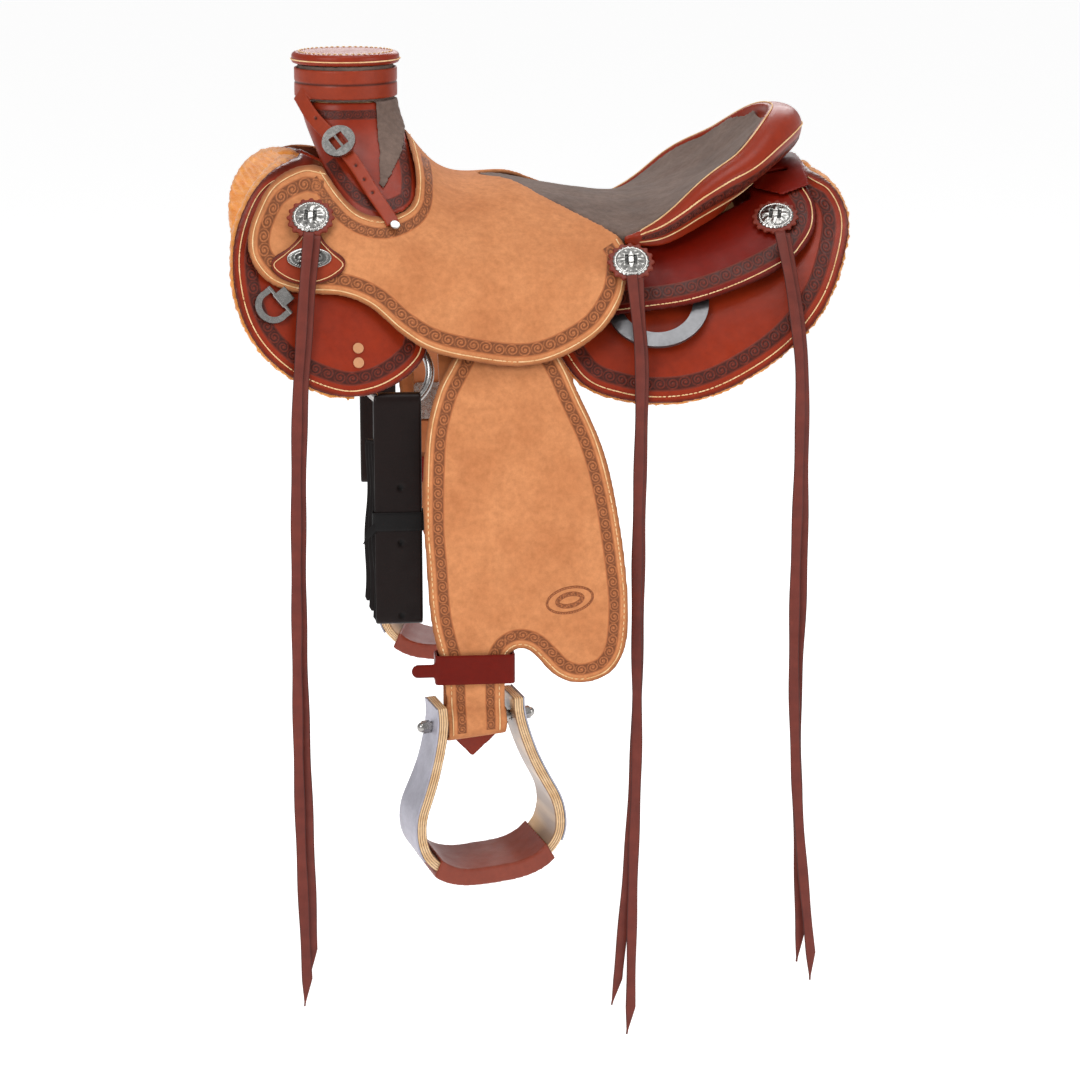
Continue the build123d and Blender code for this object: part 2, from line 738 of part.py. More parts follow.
with BuildPart() as dee_loop:
    with BuildSketch(Plane(origin=dee_plane.from_local_coords((-8, 0, 0)), x_dir=dee_plane.y_dir,
                           z_dir=dee_plane.x_dir)):
        with Locations((5, -0.1)):
            RectangleRounded(17, 6.6, 2)
        Circle(2.3, mode=Mode.SUBTRACT)
    extrude(amount=16)
    add(over_skirt, mode=Mode.SUBTRACT)
    add(under_strap, mode=Mode.SUBTRACT)
with BuildPart() as breast_dee_loops:
    add(dee_loop.part)
    mirror(dee_loop.part, about=Plane.XZ)
keep("breast_dee_loops", breast_dee_loops.part)

# rear rigging dee: a flat half ring under a straight bar, which the rear jockey covers
rear_mid = surface_plane(107, -26, level(0)).offset(7.4)
rear_slant = 11.0
rear_dee_plane = Plane(origin=rear_mid.origin,
                       x_dir=(rear_mid.x_dir * math.cos(math.radians(rear_slant))
                              + rear_mid.y_dir * math.sin(math.radians(rear_slant))),
                       z_dir=rear_mid.z_dir)
DEE_HALF = 54.0
DEE_FLAT = 17.0
with BuildPart() as rear_dee_left:
    with BuildSketch(rear_dee_plane.offset(-2)):
        with BuildLine():
            Line((-DEE_HALF, 0), (-DEE_HALF, -8))
            ThreePointArc((-DEE_HALF, -8), (0, -57), (DEE_HALF, -8))
            Polyline((DEE_HALF, -8), (DEE_HALF, 0), (DEE_HALF - DEE_FLAT, 0), (DEE_HALF - DEE_FLAT, -8))
            ThreePointArc((DEE_HALF - DEE_FLAT, -8), (0, -57 + DEE_FLAT), (DEE_FLAT - DEE_HALF, -8))
            Polyline((DEE_FLAT - DEE_HALF, -8), (DEE_FLAT - DEE_HALF, 0), (-DEE_HALF, 0))
        make_face()
    extrude(amount=4)
    with BuildSketch(Plane(origin=rear_dee_plane.from_local_coords((-DEE_HALF, 0, 0)),
                           x_dir=rear_dee_plane.y_dir, z_dir=rear_dee_plane.x_dir)):
        Circle(2.6)
    extrude(amount=2 * DEE_HALF)
keep("rear_dee_left", rear_dee_left.part)
keep("rear_dee_right", mirrored(rear_dee_left.part))

with BuildPart() as rear_tab:
    with BuildSketch(Plane(origin=rear_dee_plane.from_local_coords((-18, 0, 0)),
                           x_dir=rear_dee_plane.y_dir, z_dir=rear_dee_plane.x_dir)):
        with Locations((7, -0.9)):
            RectangleRounded(22, 7.4, 3)
        Circle(2.65, mode=Mode.SUBTRACT)
    extrude(amount=36)
    add(over_skirt, mode=Mode.SUBTRACT)
with BuildPart() as rear_dee_tabs:
    add(rear_tab.part)
    mirror(rear_tab.part, about=Plane.XZ)
keep("rear_dee_tabs", rear_dee_tabs.part)

# ---- latigo and billet ---------------------------------------------------------------------------
wire_low = ring_plane.from_local_coords((0, -RING_R, 0))
LATIGO_HALF = 25.0
LATIGO_BOTTOM = -351.0


def hanging_bundle(thick, bottom, width):
    """A strap that hangs folded from the ring's lowest point, with a hole that fits the ring."""
    with BuildPart() as bundle:
        with BuildSketch(Plane(origin=(RING_X - width / 2, wire_low.Y, 0), x_dir=(0, 1, 0),
                               z_dir=(1, 0, 0))):
            top = wire_low.Z + 13.5
            with Locations((0, (top + bottom) / 2)):
                RectangleRounded(thick, top - bottom, thick / 2 - 0.4)
        extrude(amount=width)
        add(ring_solid(RING_WIRE + 0.9), mode=Mode.SUBTRACT)
    return largest(bundle.part)


keep("latigo", hanging_bundle(18, LATIGO_BOTTOM, 2 * LATIGO_HALF))
keep("off_billet", mirrored(hanging_bundle(16, -300.0, 42)))

TIE_Z = -239.0
with BuildPart() as latigo_tie:
    with BuildSketch(Plane.XY.offset(TIE_Z - 10)):
        with Locations((RING_X, wire_low.Y)):
            RectangleRounded(2 * LATIGO_HALF + 4.4, 22.4, 3)
            Rectangle(2 * LATIGO_HALF + 0.2, 18.2, mode=Mode.SUBTRACT)
    extrude(amount=20)
keep("latigo_tie", latigo_tie.part)

# ---- fenders and stirrup leathers ------------------------------------------------------------------
fender_edge = [(-84, -28), (-113, -73), (-131, -104), (-143, -150), (-146, -230), (-143, -285),
               (-139, -338), (-128, -385)]
fender_lobe = [(-61, -387), (-56, -376), (-47, -371), (-36, -374), (-24, -386), (-8, -402),
               (12, -410), (33, -408), (51, -398), (64, -375), (68, -332), (65, -289), (54, -215),
               (38, -152), (18, -106), (3, -73), (-26, -28)]
tongue = ((-123, -424), (-123, -441), (-62, -441), (-62, -424))
hang = [(186, -28), (199, -50), (217, -78), (234, -104), (249, -136), (257.5, -165),
        (FENDER_H, -190)]


def hanging_sheet(inner, thickness, bottom=BOLT_Z):
    """A sheet that follows the hanging line, between two distances in front of it."""
    under = [(h + inner, z) for h, z in hang]
    over = [(h + inner + thickness, z) for h, z in hang]
    ends = ((hang[1][0] - hang[0][0], hang[1][1] - hang[0][1]), (0, -1))
    with BuildPart() as sheet:
        with BuildSketch(near_plane(80)):
            with BuildLine():
                Spline(*under, tangents=ends)
                Polyline(under[-1], (under[-1][0], bottom), (over[-1][0], bottom), over[-1])
                Spline(*over, tangents=ends)
                Line(over[0], under[0])
            make_face()
        extrude(amount=240)
    return sheet.part


BOLT_H = FENDER_H - 5.6
yaw = math.radians(STIRRUP_YAW)
roll = math.radians(STIRRUP_ROLL)
bolt_axis = Vector(math.cos(roll) * math.cos(yaw), math.cos(roll) * math.sin(yaw), math.sin(roll))
across_bolt = Vector(math.sin(yaw), -math.cos(yaw), 0)
bolt_plane = Plane(origin=(STIRRUP_X, -BOLT_H, BOLT_Z), x_dir=across_bolt, z_dir=bolt_axis)


def bolt_rod(radius, start, end, rise=0.0):
    """A cylinder on the bolt's axis, between two distances along it."""
    with BuildPart() as rod:
        with BuildSketch(raised_plane(bolt_plane.offset(start), rise)):
            Circle(radius)
        extrude(amount=end - start)
    return rod.part


LOOP_R = BOLT_SLEEVE_R + 0.6
LOOP_START = -34.5
LOOP_END = 30.0
PLY_GAP = 0.3
FENDER_LOOP = 4.2
fender_loop_r = LOOP_R + STRAP_LEATHER + PLY_GAP
front_ply = -FENDER_LEATHER / 2 - 2.4 - STRAP_LEATHER
back_ply = front_ply - PLY_GAP - STRAP_LEATHER
plies_back = FENDER_H + back_ply
strap_x = STIRRUP_X - 3.0
PIN_SPACING = 32.0
SLEEVE_HEIGHT = 38.0
HOBBLE_HEIGHT = 32.0
sleeve_back = plies_back - 5.0
sleeve_front = FENDER_H - FENDER_LEATHER / 2 - 0.3


# keeps a raised fender off the front skirt's rear corner
skirt_corner = outline([(-129, -20), (-129, -62), (-146, -110)], ((-170, -110), (-170, -20)))


def fender(rise):
    with BuildSketch(Plane.XZ) as face:
        with BuildLine():
            Spline(*fender_edge)
            Polyline(fender_edge[-1], *tongue, fender_lobe[0])
            Spline(*fender_lobe)
            Line(fender_lobe[-1], fender_edge[0])
        make_face()
    tip_plane = Plane(origin=bolt_plane.origin, x_dir=bolt_axis, z_dir=across_bolt).offset(-17)
    with BuildPart() as part:
        add(hanging_sheet(-FENDER_LEATHER / 2, FENDER_LEATHER, BOLT_Z + rise))
        extrude(raised(face.sketch, rise), amount=REACH, both=True, mode=Mode.INTERSECT)
        add(bolt_rod(fender_loop_r + FENDER_LOOP, LOOP_START, LOOP_END, rise))
        with BuildSketch(raised_plane(tip_plane, rise)):
            with BuildLine():
                Polyline((-28, -4), (-22, -22), (-3, -45), (29, -21), (30, -4), close=True)
            make_face()
        extrude(amount=4)
        add(bolt_rod(fender_loop_r, -80, 80, rise), mode=Mode.SUBTRACT)
        extrude(skirt_corner, amount=REACH, both=True, mode=Mode.SUBTRACT)
    return part.part


def stirrup_leather(rise, buckle_z, round_fender):
    """Two plies of the leather, joined round the bolt, with holes for the buckle's pins."""
    bolt_z = BOLT_Z + rise
    with BuildSketch(Plane.XZ) as face:
        with Locations((strap_x, (bolt_z - 42) / 2)):
            Rectangle(62, -bolt_z - 42)
    with BuildPart() as part:
        add(hanging_sheet(front_ply, STRAP_LEATHER, bolt_z))
        add(hanging_sheet(back_ply, STRAP_LEATHER, bolt_z))
        extrude(face.sketch, amount=REACH, both=True, mode=Mode.INTERSECT)
        add(bolt_rod(LOOP_R + STRAP_LEATHER, LOOP_START + 1, LOOP_END - 1, rise))
        add(bolt_rod(LOOP_R, -80, 80, rise), mode=Mode.SUBTRACT)
        add(round_fender, mode=Mode.SUBTRACT)
        with BuildSketch(Plane.XZ.offset(plies_back - 6)):
            with Locations((strap_x, buckle_z)):
                with GridLocations(PIN_SPACING, 1, 2, 1):
                    Circle(3.3)
        extrude(amount=16, mode=Mode.SUBTRACT)
    return over_volume(part.part, 2000)


def leather_buckle(buckle_z):
    """Plate with two pins behind the leathers."""
    with BuildPart() as part:
        with BuildSketch(Plane.XZ.offset(plies_back - 3.2)):
            with Locations((strap_x, buckle_z)):
                RectangleRounded(62, 44, 5)
        extrude(amount=2)
        with BuildSketch(Plane.XZ.offset(plies_back - 2)):
            with Locations((strap_x, buckle_z)):
                with GridLocations(PIN_SPACING, 1, 2, 1):
                    Circle(3)
        extrude(amount=6)
    return part.part


def buckle_sleeve(buckle_z):
    """Flat tube that slides up over the buckle's plate."""
    with BuildPart() as part:
        with BuildSketch(Plane.XY.offset(buckle_z - 24 - SLEEVE_HEIGHT)):
            with Locations((strap_x, -(sleeve_back + sleeve_front) / 2)):
                RectangleRounded(68, sleeve_front - sleeve_back, 2)
                RectangleRounded(65.4, sleeve_front - sleeve_back - 2.6, 1, mode=Mode.SUBTRACT)
        extrude(amount=SLEEVE_HEIGHT)
    return part.part


def hobble_strap(rise):
    with BuildPart() as part:
        with BuildSketch(Plane.XY.offset(-391 + rise - HOBBLE_HEIGHT / 2)):
            with Locations((STIRRUP_X - 1.5, -FENDER_H + 5.2)):
                RectangleRounded(84, 27, 5)
                RectangleRounded(78.4, 21.4, 2, mode=Mode.SUBTRACT)
        extrude(amount=HOBBLE_HEIGHT)
        with BuildSketch(Plane.XZ.offset(FENDER_H + 3.2)):
            with Locations((STIRRUP_X - 51, -392 + rise)):
                SlotOverall(34, 15)
        extrude(amount=3)
    return part.part


# ---- stirrups ------------------------------------------------------------------------------------
stirrup_plane = Plane(origin=bolt_plane.origin, x_dir=bolt_axis, z_dir=across_bolt)
FRAME_THICKNESS = 10.0
COVER_THICKNESS = 1.6
stirrup_half = [
    (0, -164), (30, -161), (50, -155), (64, -146), (74, -134), (79, -120), (80, -105), (77, -87),
    (69, -68), (59, -44), (50, -14), (46, 8), (46, 25),
]
stirrup_line = [(-u, w) for u, w in reversed(stirrup_half[1:])] + stirrup_half


def stirrup_strip(outside, inside, depth, last=0):
    """A bent strip between two offsets of the stirrup's outline, without its lowest points."""

    def moved(distance):
        points = []
        for i, (u, w) in enumerate(stirrup_line):
            u0, w0 = stirrup_line[max(0, i - 1)]
            u1, w1 = stirrup_line[min(len(stirrup_line) - 1, i + 1)]
            run = math.hypot(u1 - u0, w1 - w0)
            points.append((u + distance * (w1 - w0) / run, w - distance * (u1 - u0) / run))
        return points

    out_points = moved(outside)
    in_points = moved(inside)
    middle = len(stirrup_half) - 1
    runs = [(0, len(stirrup_line))] if last == 0 else [(0, middle - last), (middle + last + 1, None)]
    with BuildPart() as strip:
        for first, end in runs:
            with BuildSketch(stirrup_plane.offset(-depth / 2)):
                with BuildLine():
                    Spline(*out_points[first:end])
                    Line(out_points[first:end][-1], in_points[first:end][-1])
                    Spline(*in_points[first:end])
                    Line(in_points[first:end][0], out_points[first:end][0])
                make_face()
            extrude(amount=depth)
    return strip.part


with BuildPart() as side_taper:
    with BuildSketch(Plane(origin=bolt_plane.origin, x_dir=across_bolt, z_dir=-bolt_axis)):
        with BuildLine():
            Polyline((-24, 40), (24, 40), (27, -40), (38, -120), (38, -180), (-38, -180), (-38, -120),
                     (-27, -40), close=True)
        make_face()
    extrude(amount=120, both=True)

with BuildPart() as stirrup_frame_left:
    add(stirrup_strip(0, -FRAME_THICKNESS, 84))
    add(side_taper.part, mode=Mode.INTERSECT)
    add(bolt_rod(BOLT_R + 0.3, -80, 80), mode=Mode.SUBTRACT)

with BuildPart() as stirrup_cover_left:
    add(stirrup_strip(COVER_THICKNESS + 0.2, 0.2, 84, last=3))
    add(side_taper.part, mode=Mode.INTERSECT)
    add(bolt_rod(BOLT_R + 0.3, -80, 80), mode=Mode.SUBTRACT)

tread_under = [(-66, -152), (-48, -163), (-22, -168.5), (0, -169), (22, -168.5), (48, -163), (66, -152)]
tread_over = [(57, -134), (46, -143), (28, -149), (0, -150), (-28, -149), (-46, -143), (-57, -134)]
with BuildPart() as stirrup_tread_left:
    with BuildSketch(stirrup_plane.offset(-41)):
        with BuildLine():
            Spline(*tread_under)
            Line(tread_under[-1], tread_over[0])
            Spline(*tread_over)
            Line(tread_over[-1], tread_under[0])
        make_face()
    extrude(amount=82)
    add(stirrup_frame_left.part, mode=Mode.SUBTRACT)
tread_left = largest(stirrup_tread_left.part)

NUT_R = 7.0
arm_outside = 50.5
with BuildPart() as stirrup_bolt_left:
    add(bolt_rod(BOLT_R, -arm_outside, arm_outside))
    add(bolt_rod(BOLT_SLEEVE_R, -33, 33))
    for start in (-arm_outside - 8, arm_outside):
        with BuildSketch(bolt_plane.offset(start)):
            RegularPolygon(NUT_R, 6)
        extrude(amount=8)
    for end in (-arm_outside - 8, arm_outside + 8):
        with Locations(bolt_plane.offset(end).origin):
            Sphere(5.5)

for name, part in (
    ("stirrup_frame", stirrup_frame_left.part), ("stirrup_cover", stirrup_cover_left.part),
    ("stirrup_tread", tread_left), ("stirrup_bolt", stirrup_bolt_left.part),
):
    keep(f"{name}_left", part)
    keep(f"{name}_right", raised(mirrored(part), OFF_SIDE_RAISE))

for side, rise, buckle_z in (("left", 0.0, -262.0), ("right", OFF_SIDE_RAISE, -208.0)):
    fender_part = fender(rise)
    pieces = {
        "fender": fender_part,
        "stirrup_leather": stirrup_leather(rise, buckle_z, fender_part),
        "leather_buckle": leather_buckle(buckle_z),
        "buckle_sleeve": buckle_sleeve(buckle_z),
        "hobble_strap": hobble_strap(rise),
    }
    for name, part in pieces.items():
        keep(f"{name}_{side}", part if side == "left" else mirrored(part))

# ---- saddle strings --------------------------------------------------------------------------------
def over(x, z, lift, gap):
    """A point in front of the near side of a leather layer."""
    return (x, -half_width(x, z, lift_at(lift, x, z) + gap), z)


PROUD = ROSETTE + CONCHO_HEIGHT + 5.5      # over a concho
# each route starts on its concho, lies over the leather and then hangs
skirt_outer = level(0)
strings = {
    "string_front_a": [over(-257, 60, keeper_outer, PROUD + 3), over(-261, 28, keeper_outer, 11),
                       over(-265, -10, keeper_outer, 8), over(-269, -58, skirt_outer, 10),
                       over(-273, -100, skirt_outer, 8), (-276, -246, -200), (-278, -248, -340),
                       (-279, -247, -500), (-277, -248, -640), (-273, -248, -766)],
    "string_front_b": [over(-250, 56, keeper_outer, PROUD - 2), over(-254, 24, keeper_outer, 6),
                       over(-259, -14, keeper_outer, 3.5), over(-263, -60, skirt_outer, 5.5),
                       over(-267, -102, skirt_outer, 3.5), (-271, -241, -200), (-273, -242, -340),
                       (-271, -241, -490), (-268, -242, -620), (-267, -242, -735)],
    "string_mid_a": [over(76, 12, seat_outer, PROUD + 3), over(80, -24, rear_outer, 13),
                     over(83, -64, skirt_outer, 24), over(82, -122, skirt_outer, 10),
                     (80, -236, -210), (79, -235, -350), (82, -236, -490), (77, -235, -650),
                     (76, -236, -817)],
    "string_mid_b": [over(83, 8, seat_outer, PROUD - 2), over(85, -27, rear_outer, 8),
                     over(87, -66, skirt_outer, 19), over(86, -124, skirt_outer, 5),
                     (84, -231, -210), (83, -230, -360), (80, -231, -500), (73, -230, -640),
                     (60, -231, -785)],
    "string_rear_a": [over(237, 49, rear_outer, PROUD + 3), over(242, 10, rear_outer, 11),
                      over(247, -38, skirt_outer, 12), over(250, -88, skirt_outer, 9),
                      (250, -234, -190), (248, -233, -320), (249, -234, -450), (258, -233, -600),
                      (277, -234, -762)],
    "string_rear_b": [over(243, 46, rear_outer, PROUD - 2), over(247, 8, rear_outer, 6),
                      over(252, -40, skirt_outer, 6.5), over(255, -90, skirt_outer, 4),
                      (256, -228, -190), (258, -227, -320), (252, -228, -460), (259, -227, -600),
                      (263, -228, -743)],
}


def bend_radii(points):
    """The largest arcs that the runs on each side of a corner allow."""
    radii = []
    for a, b, c in zip(points, points[1:], points[2:]):
        first = Vector(*b) - Vector(*a)
        second = Vector(*c) - Vector(*b)
        half_turn = math.radians(first.get_angle(second)) / 2
        radii.append(0.45 * min(first.length, second.length) / math.tan(half_turn))
    return radii


for name, route in strings.items():
    radii = bend_radii(route)
    with BuildPart() as string:
        with BuildLine():
            path = FilletPolyline(*route, radius=radii)
        start = Plane(origin=path @ 0, x_dir=(1, 0, 0), z_dir=path % 0)
        with BuildSketch(start):
            Rectangle(STRING_WIDTH, STRING_THICKNESS)
        sweep(path=path.line if hasattr(path, "line") else path)
    keep(name, string.part)
    expected = STRING_WIDTH * STRING_THICKNESS * path.length
    print(name, "length", round(path.length), "radii", [round(r) for r in radii],
          "volume share", round(string.part.volume / expected, 3))
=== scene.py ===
"""Looks of the western saddle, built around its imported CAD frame."""
import json
import math

import bmesh
import bpy
import numpy as np
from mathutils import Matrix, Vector
from mathutils.bvhtree import BVHTree

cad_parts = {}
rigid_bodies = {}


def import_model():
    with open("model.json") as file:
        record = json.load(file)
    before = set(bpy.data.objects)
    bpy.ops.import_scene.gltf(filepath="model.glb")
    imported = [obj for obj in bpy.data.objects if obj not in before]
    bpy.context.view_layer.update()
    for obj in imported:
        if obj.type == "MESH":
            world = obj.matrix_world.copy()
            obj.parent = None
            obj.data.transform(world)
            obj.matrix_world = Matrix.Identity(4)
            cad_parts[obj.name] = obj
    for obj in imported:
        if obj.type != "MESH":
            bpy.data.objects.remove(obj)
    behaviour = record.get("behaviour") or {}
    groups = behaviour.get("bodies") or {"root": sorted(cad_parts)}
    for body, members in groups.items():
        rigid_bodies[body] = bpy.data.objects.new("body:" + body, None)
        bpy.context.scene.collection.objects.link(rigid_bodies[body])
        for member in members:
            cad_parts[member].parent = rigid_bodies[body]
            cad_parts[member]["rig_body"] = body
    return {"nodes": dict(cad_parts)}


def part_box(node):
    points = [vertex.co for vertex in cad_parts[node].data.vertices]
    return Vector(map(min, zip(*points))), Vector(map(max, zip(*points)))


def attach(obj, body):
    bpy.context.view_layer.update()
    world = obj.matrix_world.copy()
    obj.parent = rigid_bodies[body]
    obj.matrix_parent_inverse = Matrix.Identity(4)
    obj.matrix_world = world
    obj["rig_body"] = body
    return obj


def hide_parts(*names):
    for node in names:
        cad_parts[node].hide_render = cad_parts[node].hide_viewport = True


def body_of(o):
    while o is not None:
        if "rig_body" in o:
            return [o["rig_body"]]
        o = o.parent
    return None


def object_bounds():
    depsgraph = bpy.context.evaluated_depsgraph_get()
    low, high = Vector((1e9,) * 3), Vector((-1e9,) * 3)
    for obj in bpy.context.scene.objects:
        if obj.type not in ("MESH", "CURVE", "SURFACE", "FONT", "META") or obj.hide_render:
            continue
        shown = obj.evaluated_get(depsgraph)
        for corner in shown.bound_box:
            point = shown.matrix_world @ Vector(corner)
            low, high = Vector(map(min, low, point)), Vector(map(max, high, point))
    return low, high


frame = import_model()
nodes = frame["nodes"]
cad_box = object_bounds()

THREAD_LIFT = 0.0004      # stitches over their leather
LOOP_MARGIN = 0.0006      # how far an inset line may cut a corner
BURNISH = 0.85            # darkest shade along an edge
RAY_START = 0.6           # outside the saddle, on either side
OFF_RAISE = 0.100         # the off fender and stirrup hang higher


# ---- materials -----------------------------------------------------------------------------
def linear(rgb):
    """An sRGB colour, 0 to 255, as linear RGBA."""
    out = []
    for value in rgb:
        c = value / 255
        out.append(c / 12.92 if c <= 0.04045 else ((c + 0.055) / 1.055) ** 2.4)
    return (*out, 1.0)


def noise(tree, scale, detail=3.0, roughness=0.55, kind="noise", stretch=(1, 1, 1)):
    """The value of a procedural texture in object coordinates."""
    coords = tree.nodes.new("ShaderNodeTexCoord")
    mapping = tree.nodes.new("ShaderNodeMapping")
    mapping.inputs["Scale"].default_value = stretch
    tree.links.new(coords.outputs["Object"], mapping.inputs["Vector"])
    if kind == "noise":
        node = tree.nodes.new("ShaderNodeTexNoise")
        node.inputs["Detail"].default_value = detail
        node.inputs["Roughness"].default_value = roughness
        out = node.outputs["Fac"]
    else:
        node = tree.nodes.new("ShaderNodeTexVoronoi")
        node.feature = "F1" if kind == "cells" else "DISTANCE_TO_EDGE"
        out = node.outputs["Distance"]
    node.inputs["Scale"].default_value = scale
    tree.links.new(mapping.outputs["Vector"], node.inputs["Vector"])
    return out


def spread(tree, value, low, high, to_low=0.0, to_high=1.0):
    """A value mapped from low..high to to_low..to_high, clamped."""
    node = tree.nodes.new("ShaderNodeMapRange")
    for name, number in (("From Min", low), ("From Max", high),
                         ("To Min", to_low), ("To Max", to_high)):
        node.inputs[name].default_value = number
    tree.links.new(value, node.inputs["Value"])
    return node.outputs["Result"]


def mixed(tree, factor, first, second):
    """Two colours mixed; each is a colour or a socket."""
    node = tree.nodes.new("ShaderNodeMix")
    node.data_type = "RGBA"
    tree.links.new(factor, node.inputs["Factor"])
    for socket, value in ((node.inputs[6], first), (node.inputs[7], second)):
        if isinstance(value, tuple):
            socket.default_value = value
        else:
            tree.links.new(value, socket)
    return node.outputs[2]


def attribute(tree, name):
    node = tree.nodes.new("ShaderNodeAttribute")
    node.attribute_name = name
    return node.outputs["Fac"]


def bumped(tree, shader, layers):
    """Bump from several heights: each is (socket, strength, distance)."""
    normal = None
    for height, strength, distance in layers:
        node = tree.nodes.new("ShaderNodeBump")
        node.inputs["Strength"].default_value = strength
        node.inputs["Distance"].default_value = distance
        tree.links.new(height, node.inputs["Height"])
        if normal is not None:
            tree.links.new(normal, node.inputs["Normal"])
        normal = node.outputs["Normal"]
    tree.links.new(normal, shader.inputs["Normal"])


def material(name):
    made = bpy.data.materials.new(name)
    made.use_nodes = True
    return made, made.node_tree, made.node_tree.nodes["Principled BSDF"]


def leather(name, base, dark, light=None, rough=(0.38, 0.52), grain=750, depth=0.00012, mottle=0.5,
            sheen=0.0, coat=0.0, patch=11, fuzz=0.0, spec=0.3):
    """Leather: slow colour patches, fine grain, and attribute 'shade' for darker places: burnished
    edges, stamped hollows, and painted shade in holes and gaps.
    """
    made, tree, shader = material(name)
    base, dark = linear(base), linear(dark)
    light = linear(light) if light else base
    slow = spread(tree, noise(tree, patch, 4, 0.6), 0.35, 0.68)
    tone = mixed(tree, spread(tree, slow, 0, 1, 0, mottle), base, light)
    fine = spread(tree, noise(tree, 140, 5, 0.7), 0.35, 0.75, 0, 0.22 + fuzz)
    tone = mixed(tree, fine, tone, dark)
    tone = mixed(tree, attribute(tree, "shade"), tone, dark)
    tree.links.new(tone, shader.inputs["Base Color"])
    tree.links.new(spread(tree, noise(tree, 60, 3), 0.3, 0.7, *rough), shader.inputs["Roughness"])
    shader.inputs["Specular IOR Level"].default_value = spec
    shader.inputs["Sheen Weight"].default_value = sheen
    shader.inputs["Sheen Roughness"].default_value = 0.6
    shader.inputs["Coat Weight"].default_value = coat
    shader.inputs["Coat Roughness"].default_value = 0.25
    bumped(tree, shader, [(noise(tree, grain, kind="cells"), 0.5, depth),
                          (noise(tree, 55, 4), 0.35, depth * 3)])
    return made


def metal(name, base, rough=(0.2, 0.32), metallic=1.0, brushed=(1, 1, 1), scratch=0.00003):
    made, tree, shader = material(name)
    tone = mixed(tree, spread(tree, noise(tree, 35, 4), 0.3, 0.7), linear(base),
                 linear([0.88 * c for c in base]))
    tone = mixed(tree, attribute(tree, "shade"), tone, linear([0.16 * c for c in base]))
    tree.links.new(tone, shader.inputs["Base Color"])
    shader.inputs["Metallic"].default_value = metallic
    grain = noise(tree, 300, 3, stretch=brushed)
    tree.links.new(spread(tree, grain, 0.3, 0.7, *rough), shader.inputs["Roughness"])
    bumped(tree, shader, [(grain, 0.25, scratch)])
    return made


chestnut = leather("chestnut_polished", (146, 45, 18), (46, 13, 6), (118, 30, 11), rough=(0.3, 0.44),
                   coat=0.04, grain=900, depth=0.00006, spec=0.22)
chestnut_deep = leather("chestnut_tooled", (124, 44, 26), (34, 12, 8), (98, 30, 16),
                        rough=(0.4, 0.55), coat=0.02, grain=900, depth=0.00006, spec=0.25)
jockey_red = leather("rear_jockey_red", (118, 20, 6), (42, 12, 7), (96, 14, 4), rough=(0.34, 0.48),
                     coat=0.0, grain=900, depth=0.00006, spec=0.12)
tan = leather("tan_roughout", (209, 140, 92), (112, 62, 34), (190, 121, 76), rough=(0.85, 0.97),
              sheen=0.05, grain=1500, depth=0.0002, mottle=0.9, patch=16, fuzz=0.12, spec=0.12)
tan_tooled = leather("tan_tooled", (194, 118, 70), (84, 42, 20), (180, 104, 58), rough=(0.6, 0.75),
                     grain=1200, depth=0.0001)
grey = leather("grey_suede", (122, 102, 92), (56, 45, 40), (100, 83, 75), rough=(0.85, 0.97),
               sheen=0.05, grain=420, depth=0.0006, mottle=0.8, patch=18, fuzz=0.25, spec=0.15)
strap_red = leather("strap_russet", (150, 54, 26), (54, 18, 10), (128, 42, 20), rough=(0.34, 0.48),
                    coat=0.03, spec=0.22)
string_red = leather("string_latigo", (114, 46, 34), (46, 16, 14), (90, 32, 24), rough=(0.5, 0.65),
                     grain=600, depth=0.0002, patch=24, spec=0.3)
black = leather("black_leather", (18, 16, 16), (5, 4, 4), rough=(0.4, 0.55), spec=0.15)
latigo_dark = leather("latigo_oiled", (26, 14, 12), (6, 4, 4), (15, 9, 8), rough=(0.34, 0.5),
                      grain=500, depth=0.00015, spec=0.14)
skirting = leather("stirrup_leather", (158, 92, 50), (74, 38, 20), (138, 76, 40))
tread = leather("tread_leather", (132, 56, 36), (50, 17, 11), (114, 40, 22), rough=(0.32, 0.46),
                coat=0.08, grain=700, spec=0.3)
hobble = leather("hobble_red", (104, 18, 6), (36, 9, 5), (86, 12, 4), rough=(0.34, 0.48), coat=0.0,
                 spec=0.12)
raw_leather = leather("ground_leather", (196, 140, 100), (110, 74, 46))
steel = metal("satin_steel", (172, 169, 166), (0.2, 0.32))
# the rear dees' steel: rougher than the other steel, and its colour painted darker: painted shade on
# their faces, which catch the lamps
darkened_rough_steel = metal("rough_steel_painted_dark", (132, 132, 134), (0.36, 0.46), scratch=0.00001)
silver = metal("engraved_silver", (190, 188, 184), (0.18, 0.34))
sheet_metal = metal("stirrup_sheet", (176, 174, 186), (0.42, 0.58), metallic=0.75)


def thread_material():
    made, tree, shader = material("waxed_thread")
    tree.links.new(mixed(tree, spread(tree, noise(tree, 90), 0.3, 0.7), linear((238, 206, 158)),
                         linear((214, 164, 108))), shader.inputs["Base Color"])
    shader.inputs["Roughness"].default_value = 0.7
    bumped(tree, shader, [(noise(tree, 1800, 2), 0.5, 0.0002)])
    return made


def wool_material():
    made, tree, shader = material("golden_fleece")
    tone = mixed(tree, spread(tree, noise(tree, 120, 5, 0.7), 0.3, 0.7), linear((220, 128, 42)),
                 linear((238, 164, 76)))
    tone = mixed(tree, spread(tree, noise(tree, 60, kind="cells"), 0.15, 0.8, 0, 0.3), tone,
                 linear((168, 96, 34)))
    tree.links.new(tone, shader.inputs["Base Color"])
    shader.inputs["Roughness"].default_value = 0.95
    shader.inputs["Sheen Weight"].default_value = 0.5
    bumped(tree, shader, [(noise(tree, 260, 5, 0.75), 0.9, 0.0016), (noise(tree, 900, 3), 0.6, 0.0006)])
    return made


